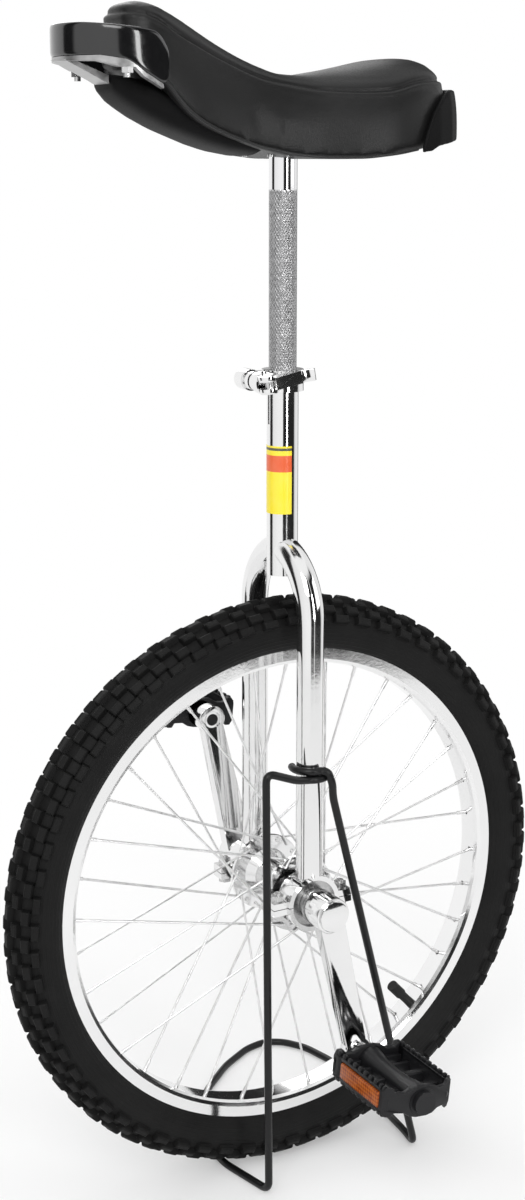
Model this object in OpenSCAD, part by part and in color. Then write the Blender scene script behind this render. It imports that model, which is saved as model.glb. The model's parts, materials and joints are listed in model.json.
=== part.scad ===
// Single-wheel pedal cycle with a 20 inch wheel, standing in a clip-on wire stand.
// +X is the way it is ridden, +Y is the rider's left and +Z is up.
// The origin is the tyre's contact point with the floor, right under the axle.

/* [Wheel] */
// Outer radius of the tyre over its tread
tyre_r = 250; // [240:1:262]
// Radius of the tyre's round casing
casing_r = 21.5; // [20:0.5:24]
// Thickness of the tread band over the casing
tread_t = 5; // [3:0.5:7]
// Wall thickness of the tyre casing
casing_t = 3.2; // [2:0.1:4]
// Outer radius of the rim flanges
rim_r = 209.5; // [206:0.5:212]
// Width over the rim flanges
rim_w = 26.6; // [24:0.2:30]
// Height of the rim's side band
rim_h = 15.5; // [13:0.5:18]
// Number of spokes, a multiple of four
spoke_n = 36; // [28:4:36]
// How many spokes each spoke crosses
cross_n = 3; // [2:1:3]
// Spoke diameter
spoke_d = 2; // [1.8:0.1:2.4]
// Angle of the valve past straight back and down
valve_turn = 2; // [-4:1:4]

/* [Hub] */
// Distance from the wheel's middle plane to each spoke flange
flange_y = 27; // [24:0.5:30]
// Outer radius of the spoke flanges
flange_r = 33; // [28:0.5:36]
// Thickness of the spoke flanges
flange_t = 3; // [2.5:0.1:3.5]
// Radius of the axle where the bearings sit
axle_r = 8.5; // [8:0.5:10]
// Outer radius of the bearings
bearing_r = 20; // [19:0.5:22]
// Width of the bearings
bearing_w = 12; // [10:0.5:14]

/* [Cranks and pedals] */
// Crank length from the axle to the pedal spindle
crank_l = 132; // [114:1:150]
// Angle of the right crank forward of straight up
crank_turn = 12.5; // [0:0.5:30]
// Thickness of the crank arms
crank_t = 11; // [9:0.5:13]
// Width of the crank arms at the boss
crank_w = 24; // [20:1:27]
// Length of the pedal platform along its spindle
pedal_l = 84; // [76:1:96]
// Width of the pedal platform, front to back
pedal_w = 66; // [60:1:76]
// Height of the pedal platform
pedal_h = 26; // [22:1:30]
// Tilt of each pedal, front edge up
pedal_tilt = 6; // [0:1:20]

/* [Frame] */
// Outer radius of the fork legs
leg_r = 11.1; // [10:0.1:12.5]
// Distance from each spoke flange out to the middle of its fork leg
leg_out = 19; // [18:0.5:23]
// Bend radius of the fork shoulders, at the tube's middle
shoulder_r = 55; // [50:1:57]
// Height where the straight fork legs end
shoulder_z = 487; // [480:1:500]
// Wall thickness of the frame tubes
tube_t = 1.5; // [1.2:0.1:2]
// Outer radius of the seat tube
seat_tube_r = 12.7; // [12.5:0.1:14]
// Height of the seat tube's open lower end
seat_tube_low = 519; // [515:1:530]
// Height of the seat tube's upper end
seat_tube_top = 684; // [660:1:720]
// Length of the sticker
sticker_l = 55; // [30:1:60]
// Distance from the seat tube's upper end down to the sticker
sticker_drop = 59; // [30:1:80]

/* [Seat post and saddle] */
// Radius of the seat post
post_r = 11.1; // [10:0.1:11.1]
// How far the seat post reaches down inside the seat tube
post_in = 107; // [84:1:110]
// Height of the plate on top of the seat post
plate_z = 857; // [850:1:880]
// Radius of the saddle's front handle bar, across its outside
handle_r = 50; // [44:1:54]
// Height of the front handle bar
handle_h = 23; // [18:1:28]

/* [Stand] */
// Diameter of the stand wire
wire_d = 6.5; // [5:0.5:7]
// Height where the stand hooks round the left fork leg
hook_z = 363; // [340:1:400]

/* [Hidden] */
$fn = 64;

// Clearances: parts pressed or laid together, and a shaft that turns in its bore
seat_fit = 0.02;
run_fit = 0.05;
gap = 0.3;

// Wheel, worked out from its driving sizes
axle_z = tyre_r;
casing_c = tyre_r - tread_t - casing_r;
bead_r = rim_r - 6.3;
bed_r = rim_r - rim_h + 2;
nipple_head = 2.6;
tape_r = bed_r + nipple_head + 0.6;
tape_t = 0.6;
tube_t_air = 1.2;
tube_low = tape_r + tape_t + 0.2;
rim_wall = 1.5;
bead_t = 3.4;
spoke_pcr = flange_r - 4;
valve_deg = 225 + valve_turn;
valve_r = 4;

// Fork legs, and the hub stack along the axle, from the middle outwards
leg_y = flange_y + leg_out;
bearing_in = leg_y - bearing_w / 2;
bearing_out = leg_y + bearing_w / 2;
hub_end = bearing_in - 5;
boss_in = bearing_out + 8;
boss_out = boss_in + 25;
boss_r = 15;
crank_out = boss_out - 4;
square_w = 13;
square_l = 16;
cap_r = 13;
holder_r = bearing_r + 4;
holder_w = 18;
ear_x = holder_r + 6;
ear_t = 5.5;
bolt_r = 3;
ball_r = 3.3;
ball_n = 8;
ball_pcr = (axle_r + bearing_r) / 2;
race_half = 2.05;

// Pedals
pedal_in = crank_out + 12;
pedal_out = pedal_in + pedal_l;
spindle_r = 6;
thread_r = 7.1;
barrel_r = 11;
cage_t = 5;

// Clamp round the top of the seat tube
clamp_h = 17;
clamp_z = seat_tube_top - 7;
clamp_r = seat_tube_r + 4;
skewer_x = seat_tube_r + 11;
skewer_r = 2.5;
ear_y = 8;
lever_r = 8;
lever_y = ear_y + 4 + lever_r;
lever_lift = 10;
pin_r = 3.6;
arm_l = 26;

// Wire stand: corner points of its one bent wire, on the floor and up both arms
wire_r = wire_d / 2;
wire_y = 60;
hook_r = leg_r + wire_r + 0.2;

// Saddle shape along its length: [x, top, lower edge of the cover, half width]
cover_line = [[-124, 907, 866, 34], [-122, 913, 864, 46], [-116, 919.5, 861.5, 57.5], [-106, 925, 859, 66.5],
    [-92, 926.5, 856, 72], [-78, 925, 854, 74], [-60, 920.5, 850.5, 73.5], [-35, 915, 847.5, 67],
    [-5, 911.5, 847.5, 56], [20, 914, 850, 49], [45, 923, 855.5, 44], [66, 933, 862.5, 42],
    [83, 942.5, 869.5, 41], [96, 950, 876.5, 41], [107, 955.5, 886, 40.5], [115, 959, 896, 40],
    [121, 961, 904, 39.5], [131, 962, 909, 37.5], [138, 960, 911, 32], [143.5, 954, 913, 22]];
cover_mid = 9.75;
cover_half = 133.75;
// Base pan under the cover: [x, top, bottom, half width]
plate_t = 3;
post_low = seat_tube_top - post_in;
pan_z = plate_z + plate_t;
pan_t = 12;
base_line = [[-112, pan_z + pan_t, pan_z + 1, 34], [-100, pan_z + pan_t, pan_z, 52],
    [-80, pan_z + pan_t, pan_z, 62], [-60, pan_z + pan_t, pan_z, 64], [-35, pan_z + pan_t, pan_z, 58],
    [-5, pan_z + pan_t, pan_z, 46], [36, pan_z + pan_t, pan_z, 40], [38, 874, 849, 37],
    [60, 877, 853, 34], [76, 881, 857.5, 32], [93, 887, 863.5, 30], [108, 894, 869, 29],
    [125, 901, 877, 27], [136, 905, 883.5, 25], [146, 907, 890, 22], [152, 908, 896, 17]];
base_mid = 20;
base_half = 132;
skin_t = 1.6;
bumper_t = 4;
// Side view of the tail guard
bumper_side = [[-78, 849], [-79, 858], [-82, 867], [-89, 881], [-97, 890], [-107, 898], [-150, 903],
    [-150, 860], [-124, 862], [-94, 857], [-84, 851]];
piping_r = 1;

// Front handle round the saddle's nose, and what holds it
handle_x = 138;
handle_back = -16;
handle_z = 919;
handle_t = 8;
handle_mid = handle_r - handle_t / 2;
handle_bolt_turns = [-72, 72];
handle_bolt_r = 2.5;
// Side views from the middle of the handle's arc: its lower edge, its upper edge, and the strip below
handle_low = [[handle_r + 1, 0], [32, 0], [23, -1.5], [14, -3], [3, -11], [-12, -19.5]];
handle_high = [[-12, 12], [-8, 17], [4, 19], [22, 21], [handle_r - 10, handle_h], [handle_r + 1, handle_h]];
strip_drop = 8;
strip_low = [[-12, -22.5], [3, -14.5], [9.5, -strip_drop], [20, -strip_drop], [23, -7], [32, -4],
    [handle_r + 1, -3]];
tongue_w = 24;
tongue_side = [[handle_r - handle_t, -2], [handle_r - 1, -2], [14, -18.5], [14, -12.5]];
tooth_n = 10;

// ---- shared shapes ----

// A round bar between two heights of the axle direction
module y_bar(r, y0, y1) {
    translate([0, y0, 0])
        rotate([-90, 0, 0])
            cylinder(r = r, h = y1 - y0);
}

// A ring about the axle direction
module y_ring(r0, r1, y0, y1) {
    difference() {
        y_bar(r1, y0, y1);
        y_bar(r0, y0 - 1, y1 + 1);
    }
}

// A flat outline of [radius, y] turned about the axle direction
module y_turned() {
    rotate([-90, 0, 0])
        rotate_extrude($fn = 120)
            children();
}

module at_axle() {
    translate([0, 0, axle_z])
        children();
}

// The right side is the left one mirrored
module on_right() {
    mirror([0, 1, 0])
        children();
}

module both_sides() {
    children();
    on_right()
        children();
}

// A straight round rod between two points
module rod(a, b, r) {
    d = b - a;
    l = norm(d);
    translate(a)
        rotate([0, acos(d[2] / l), atan2(d[1], d[0])])
            cylinder(r = r, h = l, $fn = 32);
}

// A hexagon bar along Z
module hex_bar(across, h) {
    cylinder(r = across / sqrt(3), h = h, $fn = 6);
}

// Cross-section ring of the saddle at one station, domed above and flat below; drop lowers the flat
ring_n = 30;
function dome_y(t, w) = w * sign(cos(t)) * pow(abs(cos(t)), 0.62);
function dome_z(t, h) = h * pow(abs(sin(t)), 0.72);
function section(s, inset, drop) =
    let (dome = [for (i = [0 : ring_n])
            let (t = 180 * i / ring_n)
                [s[0], dome_y(t, s[3] - inset), s[2] + dome_z(t, s[1] - inset - s[2])]],
        foot = [0, 0, drop])
        drop > 0 ? concat([dome[0] - foot], dome, [dome[ring_n] - foot]) : dome;
function squeeze(s, cx, k) = [cx + (s[0] - cx) * k, s[1], s[2], s[3]];

module loft(rings) {
    n = len(rings);
    m = len(rings[0]);
    points = [for (r = rings) each r];
    sides = [
        for (i = [0 : n - 2], j = [0 : m - 1])
            let (k = (j + 1) % m)
                [i * m + j, (i + 1) * m + j, (i + 1) * m + k, i * m + k]];
    polyhedron(
        points = points,
        faces = concat(sides, [[for (j = [0 : m - 1]) j]], [[for (j = [m - 1 : -1 : 0]) (n - 1) * m + j]]),
        convexity = 6);
}

// ---- frame ----

module seat_tube() {
    color("silver")
        difference() {
            translate([0, 0, seat_tube_low])
                cylinder(r = seat_tube_r, h = seat_tube_top - seat_tube_low);
            translate([0, 0, seat_tube_low - 1])
                cylinder(r = post_r + run_fit, h = seat_tube_top - seat_tube_low + 2);
            // Slit that lets the clamp squeeze the tube
            translate([0, -1.2, seat_tube_top - 42])
                cube([seat_tube_r + 2, 2.4, 50]);
        }
}

module leg_sweep(r) {
    translate([0, leg_y, axle_z])
        cylinder(r = r, h = shoulder_z - axle_z + 0.01);
    translate([0, leg_y - shoulder_r, shoulder_z])
        rotate([90, 0, 90])
            rotate_extrude(angle = 76, $fn = 96)
                translate([shoulder_r, 0])
                    circle(r = r);
}

module left_fork_leg() {
    color("silver")
        difference() {
            leg_sweep(leg_r);
            leg_sweep(leg_r - tube_t);
            translate([0, 0, seat_tube_low - 60])
                cylinder(r = seat_tube_r + seat_fit, h = 160);
            at_axle()
                y_bar(holder_r + seat_fit, 0, leg_y + 40);
        }
}

module right_fork_leg() {
    on_right()
        left_fork_leg();
}

// Half of the clamp round a bearing: the upper half, its ears and bolt holes
module bearing_half() {
    difference() {
        union() {
            y_bar(holder_r, leg_y - holder_w / 2, leg_y + holder_w / 2);
            translate([-ear_x - 7, leg_y - 7, 0])
                cube([2 * ear_x + 14, 14, ear_t]);
        }
        y_bar(bearing_r + seat_fit, 0, leg_y + 40);
        translate([-60, 0, -60])
            cube([120, 100, 60 + gap]);
        for (s = [-1, 1])
            translate([s * ear_x, leg_y, -1])
                cylinder(r = bolt_r + 0.1, h = ear_t + 2);
    }
}

module left_bearing_holder() {
    color("silver")
        at_axle()
            bearing_half();
}

module right_bearing_holder() {
    on_right()
        left_bearing_holder();
}

module left_bearing_cap() {
    color("gainsboro")
        at_axle()
            mirror([0, 0, 1])
                bearing_half();
}

module right_bearing_cap() {
    on_right()
        left_bearing_cap();
}

module bearing_cap_bolts() {
    color("darkgray")
        both_sides()
            for (s = [-1, 1])
                translate([s * ear_x, leg_y, axle_z]) {
                    translate([0, 0, -ear_t - 4])
                        hex_bar(10, 4);
                    translate([0, 0, -ear_t - 0.01])
                        cylinder(r = bolt_r, h = 2 * ear_t + 7);
                }
}

module bearing_cap_nuts() {
    color("gray")
        both_sides()
            for (s = [-1, 1])
                translate([s * ear_x, leg_y, axle_z + ear_t])
                    difference() {
                        hex_bar(10, 5);
                        translate([0, 0, -1])
                            cylinder(r = bolt_r + seat_fit, h = 8);
                    }
}

module left_bearing_outer_ring() {
    color("lightgray")
        at_axle()
            y_turned()
                difference() {
                    union() {
                        translate([ball_pcr + race_half, bearing_in])
                            square([bearing_r - ball_pcr - race_half, bearing_w]);
                        // Dust shields in both faces
                        for (y = [bearing_in + 0.2, bearing_out - 0.9])
                            translate([ball_pcr - race_half + 0.4, y])
                                square([2 * race_half, 0.7]);
                    }
                    translate([ball_pcr, leg_y])
                        circle(r = ball_r + run_fit);
                }
}

module right_bearing_outer_ring() {
    on_right()
        left_bearing_outer_ring();
}

module seat_tube_sticker() {
    color("gold")
        translate([0, 0, seat_tube_top - sticker_drop - sticker_l])
            rotate([0, 0, -42])
                rotate_extrude(angle = 138, $fn = 96)
                    translate([seat_tube_r + seat_fit, 0])
                        square([0.15, sticker_l]);
}

// ---- quick-release seat clamp ----

module clamp_collar() {
    color("silver")
        difference() {
            union() {
                translate([0, 0, clamp_z - clamp_h / 2])
                    cylinder(r = clamp_r, h = clamp_h);
                translate([seat_tube_r - 1, -ear_y, clamp_z - clamp_h / 2 + 1])
                    cube([skewer_x - seat_tube_r + 1, 2 * ear_y, clamp_h - 2]);
                translate([skewer_x, 0, clamp_z])
                    y_bar(clamp_h / 2 - 1, -ear_y, ear_y);
            }
            translate([0, 0, clamp_z - clamp_h / 2 - 1])
                cylinder(r = seat_tube_r + seat_fit, h = seat_tube_top - clamp_z + clamp_h / 2 + 1 + seat_fit);
            translate([0, 0, clamp_z])
                cylinder(r = post_r + 0.15, h = clamp_h);
            translate([0, -1.2, clamp_z - clamp_h])
                cube([60, 2.4, 2 * clamp_h]);
            translate([skewer_x, 0, clamp_z])
                y_bar(skewer_r + 0.1, -20, 20);
        }
}

module on_skewer() {
    translate([skewer_x, 0, clamp_z])
        rotate([0, lever_lift, 0])
            children();
}

module clamp_skewer() {
    color("lightgray")
        on_skewer()
            y_bar(skewer_r, -22, lever_y + 2);
}

module clamp_washers() {
    color("lightgray")
        on_skewer() {
            // Cup that the lever's cam bears on
            difference() {
                y_bar(9, ear_y, lever_y - 4);
                y_bar(skewer_r + 0.1, 0, 30);
                translate([0, lever_y, -20])
                    cylinder(r = lever_r + gap, h = 40);
            }
            y_ring(skewer_r + 0.1, 8.5, -ear_y - 1.5, -ear_y);
        }
}

// Cross pin that the skewer screws into and the lever turns on
module clamp_pivot_pin() {
    color("gray")
        on_skewer()
            difference() {
                translate([0, lever_y, -7])
                    cylinder(r = pin_r, h = 14);
                y_bar(skewer_r + seat_fit, 0, lever_y + 2 + seat_fit);
            }
}

// Cam head round the pivot pin, with a flat arm that curves away at its tip
module clamp_lever() {
    color("silver")
        on_skewer()
            difference() {
                union() {
                    translate([0, lever_y, -7])
                        cylinder(r = lever_r, h = 14);
                    translate([-arm_l, lever_y + 3.5, -5])
                        cube([arm_l, 4, 10]);
                    translate([-arm_l, lever_y + 21.5, -5])
                        rotate([0, 0, -132])
                            rotate_extrude(angle = 46, $fn = 96)
                                translate([14.3, 0.3])
                                    square([3.4, 9.4]);
                }
                translate([0, lever_y, -20])
                    cylinder(r = pin_r + run_fit, h = 40);
                // Slot for the skewer through the lever's swing
                translate([-skewer_r - gap, lever_y - 20, -skewer_r - gap])
                    cube([20, 40, 2 * (skewer_r + gap)]);
            }
}

module clamp_nut() {
    color("silver")
        on_skewer()
            difference() {
                union() {
                    y_bar(8.5, -ear_y - 12, -ear_y - 1.5 - gap);
                    intersection() {
                        translate([0, -ear_y - 12, 0])
                            sphere(r = 8.5);
                        y_bar(9, -ear_y - 25, -ear_y - 11.9);
                    }
                }
                y_bar(skewer_r + run_fit, -22.5, 0);
            }
}

// ---- wire stand ----

// One bent wire: it hooks round the leg, runs down the front arm to the floor, closes
// in a long loop under the wheel, and comes back up the rear arm to a second hook.
low_hook = hook_z - 3;
high_hook = low_hook + wire_d + gap;
function round_leg(a, z) = [hook_r * cos(a), leg_y + hook_r * sin(a), z];
wire_bends = [[20, 60.3, hook_z - 1], [48.5, 60, hook_z + 10], [46.5, 61.5, wire_r], [59, 6, wire_r],
    [57, -35, wire_r], [49, -66, wire_r], [34, -92, wire_r], [9, -119, wire_r],
    [-24, -148, wire_r], [-58, -168, wire_r], [-80, -172, wire_r], [-96, -163, wire_r],
    [-109, -143, wire_r], [-117, -108, wire_r], [-117, -60, wire_r], [-107, 35, wire_r],
    [-103, 57, wire_r], [-12.5, 62.5, hook_z - 20], [-10.5, 64.8, hook_z - 7],
    [-7, 63.2, hook_z + 3]];

function unit(v) = v / norm(v);
// The points of a bend, rounded off over a short length on both sides
function rounded(a, p, b) =
    let (cut = min(9, norm(a - p) / 2.2, norm(b - p) / 2.2),
        p0 = p + cut * unit(a - p), p1 = p + cut * unit(b - p))
        [for (t = [0 : 0.25 : 1]) (1 - t) * (1 - t) * p0 + 2 * t * (1 - t) * p + t * t * p1];
function wire_path() =
    let (first = [for (a = [212 : -15 : 62]) round_leg(a, low_hook)],
        last = [for (a = [95 : -15 : -25]) round_leg(a, high_hook)],
        n = len(wire_bends),
        ends = concat([first[len(first) - 1]], wire_bends, [last[0]]))
        concat(first, [for (i = [1 : n]) each rounded(ends[i - 1], ends[i], ends[i + 1])], last);

// A round wire swept along a path, its rings turned as little as possible
module swept(path, r, sides) {
    n = len(path);
    dirs = [for (i = [0 : n - 1]) unit(path[min(i + 1, n - 1)] - path[max(i - 1, 0)])];
    start = unit(cross(dirs[0], [0, 0, 1]));
    norms = [for (i = 0, v = start; i < n;
        i = i + 1, v = i < n ? unit(v - (v * dirs[i]) * dirs[i]) : v) v];
    points = [for (i = [0 : n - 1], j = [0 : sides - 1])
        let (a = 360 * j / sides)
            path[i] + r * (cos(a) * norms[i] + sin(a) * cross(dirs[i], norms[i]))];
    walls = [for (i = [0 : n - 2], j = [0 : sides - 1])
        let (k = (j + 1) % sides)
            [i * sides + j, (i + 1) * sides + j, (i + 1) * sides + k, i * sides + k]];
    polyhedron(
        points = points,
        faces = concat(walls, [[for (j = [0 : sides - 1]) j]],
            [[for (j = [sides - 1 : -1 : 0]) (n - 1) * sides + j]]),
        convexity = 8);
}

module wire_stand() {
    color("black")
        swept(wire_path(), wire_r, 12);
}

// ---- seat post and saddle ----

module seatpost() {
    color("silver")
        difference() {
            translate([0, 0, post_low])
                cylinder(r = post_r, h = plate_z - post_low);
            translate([0, 0, post_low - 1])
                cylinder(r = post_r - 1.6, h = plate_z - post_low + 2);
        }
}

saddle_bolt_xy = [[-22, -20], [-22, 20], [2 + 20, -20], [2 + 20, 20]];

module saddle_plate() {
    color("dimgray")
        difference() {
            translate([-32, -28, plate_z])
                cube([64, 56, 3]);
            for (p = saddle_bolt_xy)
                translate([p[0], p[1], plate_z - 1])
                    cylinder(r = bolt_r + 0.2, h = 6);
        }
}

module saddle_bolts() {
    color("gray")
        for (p = saddle_bolt_xy)
            translate([p[0], p[1], plate_z - 8])
                cylinder(r = bolt_r, h = 20);
}

module saddle_nuts() {
    color("gray")
        for (p = saddle_bolt_xy)
            translate([p[0], p[1], plate_z - 5])
                difference() {
                    hex_bar(10, 5);
                    translate([0, 0, -1])
                        cylinder(r = bolt_r + seat_fit, h = 8);
                }
}

module base_body() {
    loft([for (s = base_line) section(s, 0, 0)]);
}

module saddle_base() {
    color("black")
        difference() {
            base_body();
            for (p = saddle_bolt_xy)
                translate([p[0], p[1], plate_z])
                    cylinder(r = bolt_r + gap, h = 12 + gap, $fn = 24);
            // Room for the plate under the pan
            translate([-33, -29, plate_z - 10])
                cube([66, 58, 10 + plate_t + gap]);
        }
}

// The cover's outline grown by a clearance, and reaching down by drop
module cover_body(grow, drop) {
    loft([for (s = cover_line) section(squeeze(s, cover_mid, 1 + grow / cover_half), -grow, drop)]);
}

// The base pan with a little room round it, open downwards
module base_room() {
    loft([for (s = base_line)
        section(squeeze(s, base_mid, 1 + gap / base_half), -gap, 20)]);
}

module saddle_foam() {
    color("dimgray")
        difference() {
            cover_body(-skin_t - gap, 0);
            base_room();
        }
}

module saddle_cover() {
    color("black")
        difference() {
            cover_body(0, 0);
            cover_body(-skin_t, 3);
        }
}

// Piping along the lower edge of the cover, one run on each side
module saddle_piping() {
    color("black")
        both_sides()
            swept([for (i = [6 : len(cover_line) - 3])
                let (s = cover_line[i])
                    [s[0], s[3] + piping_r + gap, s[2] + piping_r]], piping_r, 8);
}

// Outline of the U-shaped handle: a half circle in front and straight sides behind
module handle_outline(r, back) {
    circle(r = r, $fn = 96);
    translate([back, -r])
        square([-back, 2 * r]);
}

module handle_ring(outer, inner, back, h) {
    linear_extrude(height = h)
        difference() {
            handle_outline(outer, back);
            handle_outline(inner, back - 1);
        }
}

module front_handle() {
    color("black")
        difference() {
            intersection() {
                translate([handle_x, 0, handle_z - 24])
                    handle_ring(handle_r, handle_r - handle_t, handle_back, handle_h + 30);
                handle_slab(handle_r + 1, concat(handle_low, handle_high));
            }
            at_handle_bolts()
                translate([0, 0, -10])
                    cylinder(r = handle_bolt_r + seat_fit, h = 22);
        }
}

// Plate across the saddle with a side view drawn from the middle of the handle's arc
module handle_slab(half_w, side) {
    translate([handle_x, 0, handle_z])
        rotate([90, 0, 0])
            translate([0, 0, -half_w])
                linear_extrude(height = 2 * half_w)
                    polygon(side);
}

module at_handle_bolts() {
    for (a = handle_bolt_turns)
        translate([handle_x, 0, handle_z])
            rotate([0, 0, a])
                translate([handle_mid, 0, 0])
                    children();
}

// Steel strip under the handle's front, with a tongue down to the nose of the base pan
module handle_bracket() {
    color("gray")
        difference() {
            union() {
                intersection() {
                    translate([handle_x, 0, handle_z - 30])
                        handle_ring(handle_r - 1, handle_r - handle_t + 1, handle_back, 32);
                    handle_slab(handle_r + 1, concat(handle_low, strip_low));
                }
                handle_slab(tongue_w / 2, tongue_side);
            }
            at_handle_bolts()
                translate([0, 0, -strip_drop - 1])
                    cylinder(r = handle_bolt_r + 0.2, h = 12);
        }
}

module handle_bolts() {
    color("silver")
        at_handle_bolts() {
            translate([0, 0, -strip_drop - 4])
                hex_bar(8, 4);
            translate([0, 0, -strip_drop - 7])
                cylinder(r = handle_bolt_r, h = strip_drop + 7 + 8);
        }
}

// Guard wrapped round the tail, with a slanting front edge
module rear_bumper() {
    color("black")
        difference() {
            intersection() {
                cover_body(bumper_t, 1.5);
                rotate([90, 0, 0])
                    translate([0, 0, -120])
                        linear_extrude(height = 240)
                            polygon(bumper_side);
            }
            cover_body(gap, 8);
        }
}

// ---- wheel ----

module casing_outline(r) {
    translate([casing_c, 0])
        circle(r = r, $fn = 96);
}

// Outline of the tyre: casing, tread band and beads, open towards the rim
module tyre_outline() {
    bead_top = rim_r + 4;
    bead_out = rim_w / 2 - rim_wall - gap;
    difference() {
        union() {
            casing_outline(casing_r);
            intersection() {
                casing_outline(casing_r + tread_t);
                translate([casing_c + 9, -casing_r - 1])
                    square([60, 2 * casing_r + 2]);
            }
        }
        casing_outline(casing_r - casing_t);
        translate([bead_r - 20, -40])
            square([rim_r + 0.7 - bead_r + 20, 80]);
    }
    for (s = [-1, 1]) {
        translate([bead_r + gap, s * (bead_out - bead_t / 2) - bead_t / 2])
            square([bead_top - bead_r - gap, bead_t]);
        intersection() {
            casing_outline(casing_r);
            translate([rim_r + 0.7, s * (bead_out + 4) - 4 - bead_t])
                square([bead_top - rim_r - 0.7, 8 + 2 * bead_t]);
        }
    }
}

module tyre() {
    color("black")
        at_axle()
            y_turned()
                tyre_outline();
}

// Outline of the tube: round inside the casing, with a foot between the beads
module tube_outline(t) {
    foot = rim_w / 2 - rim_wall - bead_t - 2 * gap - t;
    top = rim_r + 4 + gap + t;
    intersection() {
        casing_outline(casing_r - casing_t - gap - t);
        translate([top, -40])
            square([80, 80]);
    }
    translate([tube_low + t, -foot])
        square([top - tube_low - t + 4, 2 * foot]);
}

module inner_tube() {
    color("black")
        at_axle()
            difference() {
                y_turned()
                    difference() {
                        tube_outline(0);
                        tube_outline(tube_t_air);
                    }
                rotate([0, -valve_deg, 0])
                    translate([tube_low - 5, 0, 0])
                        rotate([0, 90, 0])
                            cylinder(r = valve_r + seat_fit, h = 5 + 2 * tube_t_air);
            }
}

module valve_stem() {
    color("black")
        at_axle()
            rotate([0, -valve_deg, 0])
                translate([170, 0, 0])
                    rotate([0, 90, 0])
                        cylinder(r = valve_r, h = tube_low + tube_t_air - 170);
}

module valve_cap() {
    color("black")
        at_axle()
            rotate([0, -valve_deg, 0])
                difference() {
                    translate([168, 0, 0])
                        rotate([0, 90, 0])
                            cylinder(r = valve_r + 1, h = 14);
                    translate([170 - seat_fit, 0, 0])
                        rotate([0, 90, 0])
                            cylinder(r = valve_r + seat_fit, h = 20);
                }
}

function rim_side(s) = [[rim_r, s * rim_w / 2], [rim_r - rim_h + 4, s * rim_w / 2],
    [rim_r - rim_h + 1.2, s * (rim_w / 2 - 1.5)], [bed_r - 2, s * (rim_w / 2 - 5)]];
function rim_inside(s) = [[bed_r, s * 7.4], [bead_r, s * 8.6], [bead_r, s * (rim_w / 2 - rim_wall)],
    [rim_r, s * (rim_w / 2 - rim_wall)]];

module rim() {
    left = rim_side(1);
    right = rim_side(-1);
    in_right = rim_inside(-1);
    in_left = rim_inside(1);
    color("silver")
        at_axle()
            difference() {
                y_turned()
                    polygon(concat(left, [for (i = [3 : -1 : 0]) right[i]],
                        [for (i = [3 : -1 : 0]) in_right[i]], in_left));
                for (i = [0 : spoke_n - 1])
                    rotate([0, -rim_deg(i), 0])
                        translate([bed_r - 10, side_of(i) * nipple_y, 0])
                            rotate([0, 90, 0])
                                cylinder(r = 2, h = 14, $fn = 24);
                rotate([0, -valve_deg, 0])
                    translate([bed_r - 10, 0, 0])
                        rotate([0, 90, 0])
                            cylinder(r = valve_r + 0.2, h = 14);
            }
}

module rim_tape() {
    color("dimgray")
        at_axle()
            difference() {
                y_turned()
                    translate([tape_r, -6.8])
                        square([tape_t, 13.6]);
                rotate([0, -valve_deg, 0])
                    translate([tape_r - 10, 0, 0])
                        rotate([0, 90, 0])
                            cylinder(r = valve_r + 0.2, h = 14);
            }
}

// Spokes alternate between the two flanges, and on each flange between leading
// and trailing. Trailing spokes leave the flange's outer face.
nipple_y = 2;
function rim_deg(i) = i * 360 / spoke_n + valve_turn;
function side_of(i) = i % 2 == 0 ? 1 : -1;
function trails(i) = floor(i / 2) % 2 == 0 ? 1 : -1;
function hub_deg(i) = rim_deg(i) - trails(i) * cross_n * 720 / spoke_n;
function polar(r, a, y) = [r * cos(a), y, r * sin(a)];
function hub_point(i, off) = polar(spoke_pcr, hub_deg(i),
    side_of(i) * (flange_y + trails(i) * off));
// How far from the flange's middle a spoke bends; the outer ones stand off to pass its edge
function elbow(i) = flange_t / 2 + spoke_d / 2 + (trails(i) > 0 ? 1.5 : 0.1);
function bed_point(i) = polar(bed_r, rim_deg(i), side_of(i) * nipple_y);
function along(i) = let (d = bed_point(i) - hub_point(i, elbow(i))) d / norm(d);

module spoke(i) {
    rod(hub_point(i, elbow(i)), bed_point(i) + 1.9 * along(i), spoke_d / 2);
    translate(hub_point(i, elbow(i)))
        sphere(r = spoke_d / 2 + run_fit, $fn = 24);
    rod(hub_point(i, elbow(i)), hub_point(i, -flange_t / 2 - run_fit - 0.5), spoke_d / 2);
    rod(hub_point(i, -flange_t / 2 - run_fit), hub_point(i, -flange_t / 2 - run_fit - 1.2), 1.9);
}

module spokes() {
    color("silver")
        at_axle()
            for (i = [0 : spoke_n - 1])
                spoke(i);
}

module nipple(i) {
    p = bed_point(i);
    u = along(i);
    difference() {
        union() {
            rod(p - 11 * u, p + nipple_head * u, 1.5);
            rod(p + 0.45 * u, p + nipple_head * u, 2.4);
        }
        rod(p - 12 * u, p + 1.95 * u, spoke_d / 2 + seat_fit);
    }
}

module spoke_nipples() {
    color("gainsboro")
        at_axle()
            for (i = [0 : spoke_n - 1])
                nipple(i);
}

module hub_shell() {
    color("silver")
        at_axle()
            difference() {
                union() {
                    y_bar(15, -hub_end, hub_end);
                    both_sides() {
                        y_bar(flange_r, flange_y - flange_t / 2, flange_y + flange_t / 2);
                        translate([0, flange_y - flange_t / 2 - 7, 0])
                            rotate([-90, 0, 0])
                                cylinder(r1 = 15, r2 = 21, h = 7);
                        translate([0, flange_y + flange_t / 2, 0])
                            rotate([-90, 0, 0])
                                cylinder(r1 = 19, r2 = 15, h = 3);
                    }
                }
                y_bar(axle_r + seat_fit, -50, 50);
                for (i = [0 : spoke_n - 1])
                    rod(hub_point(i, -4), hub_point(i, 4), spoke_d / 2 + 0.2);
            }
}

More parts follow.
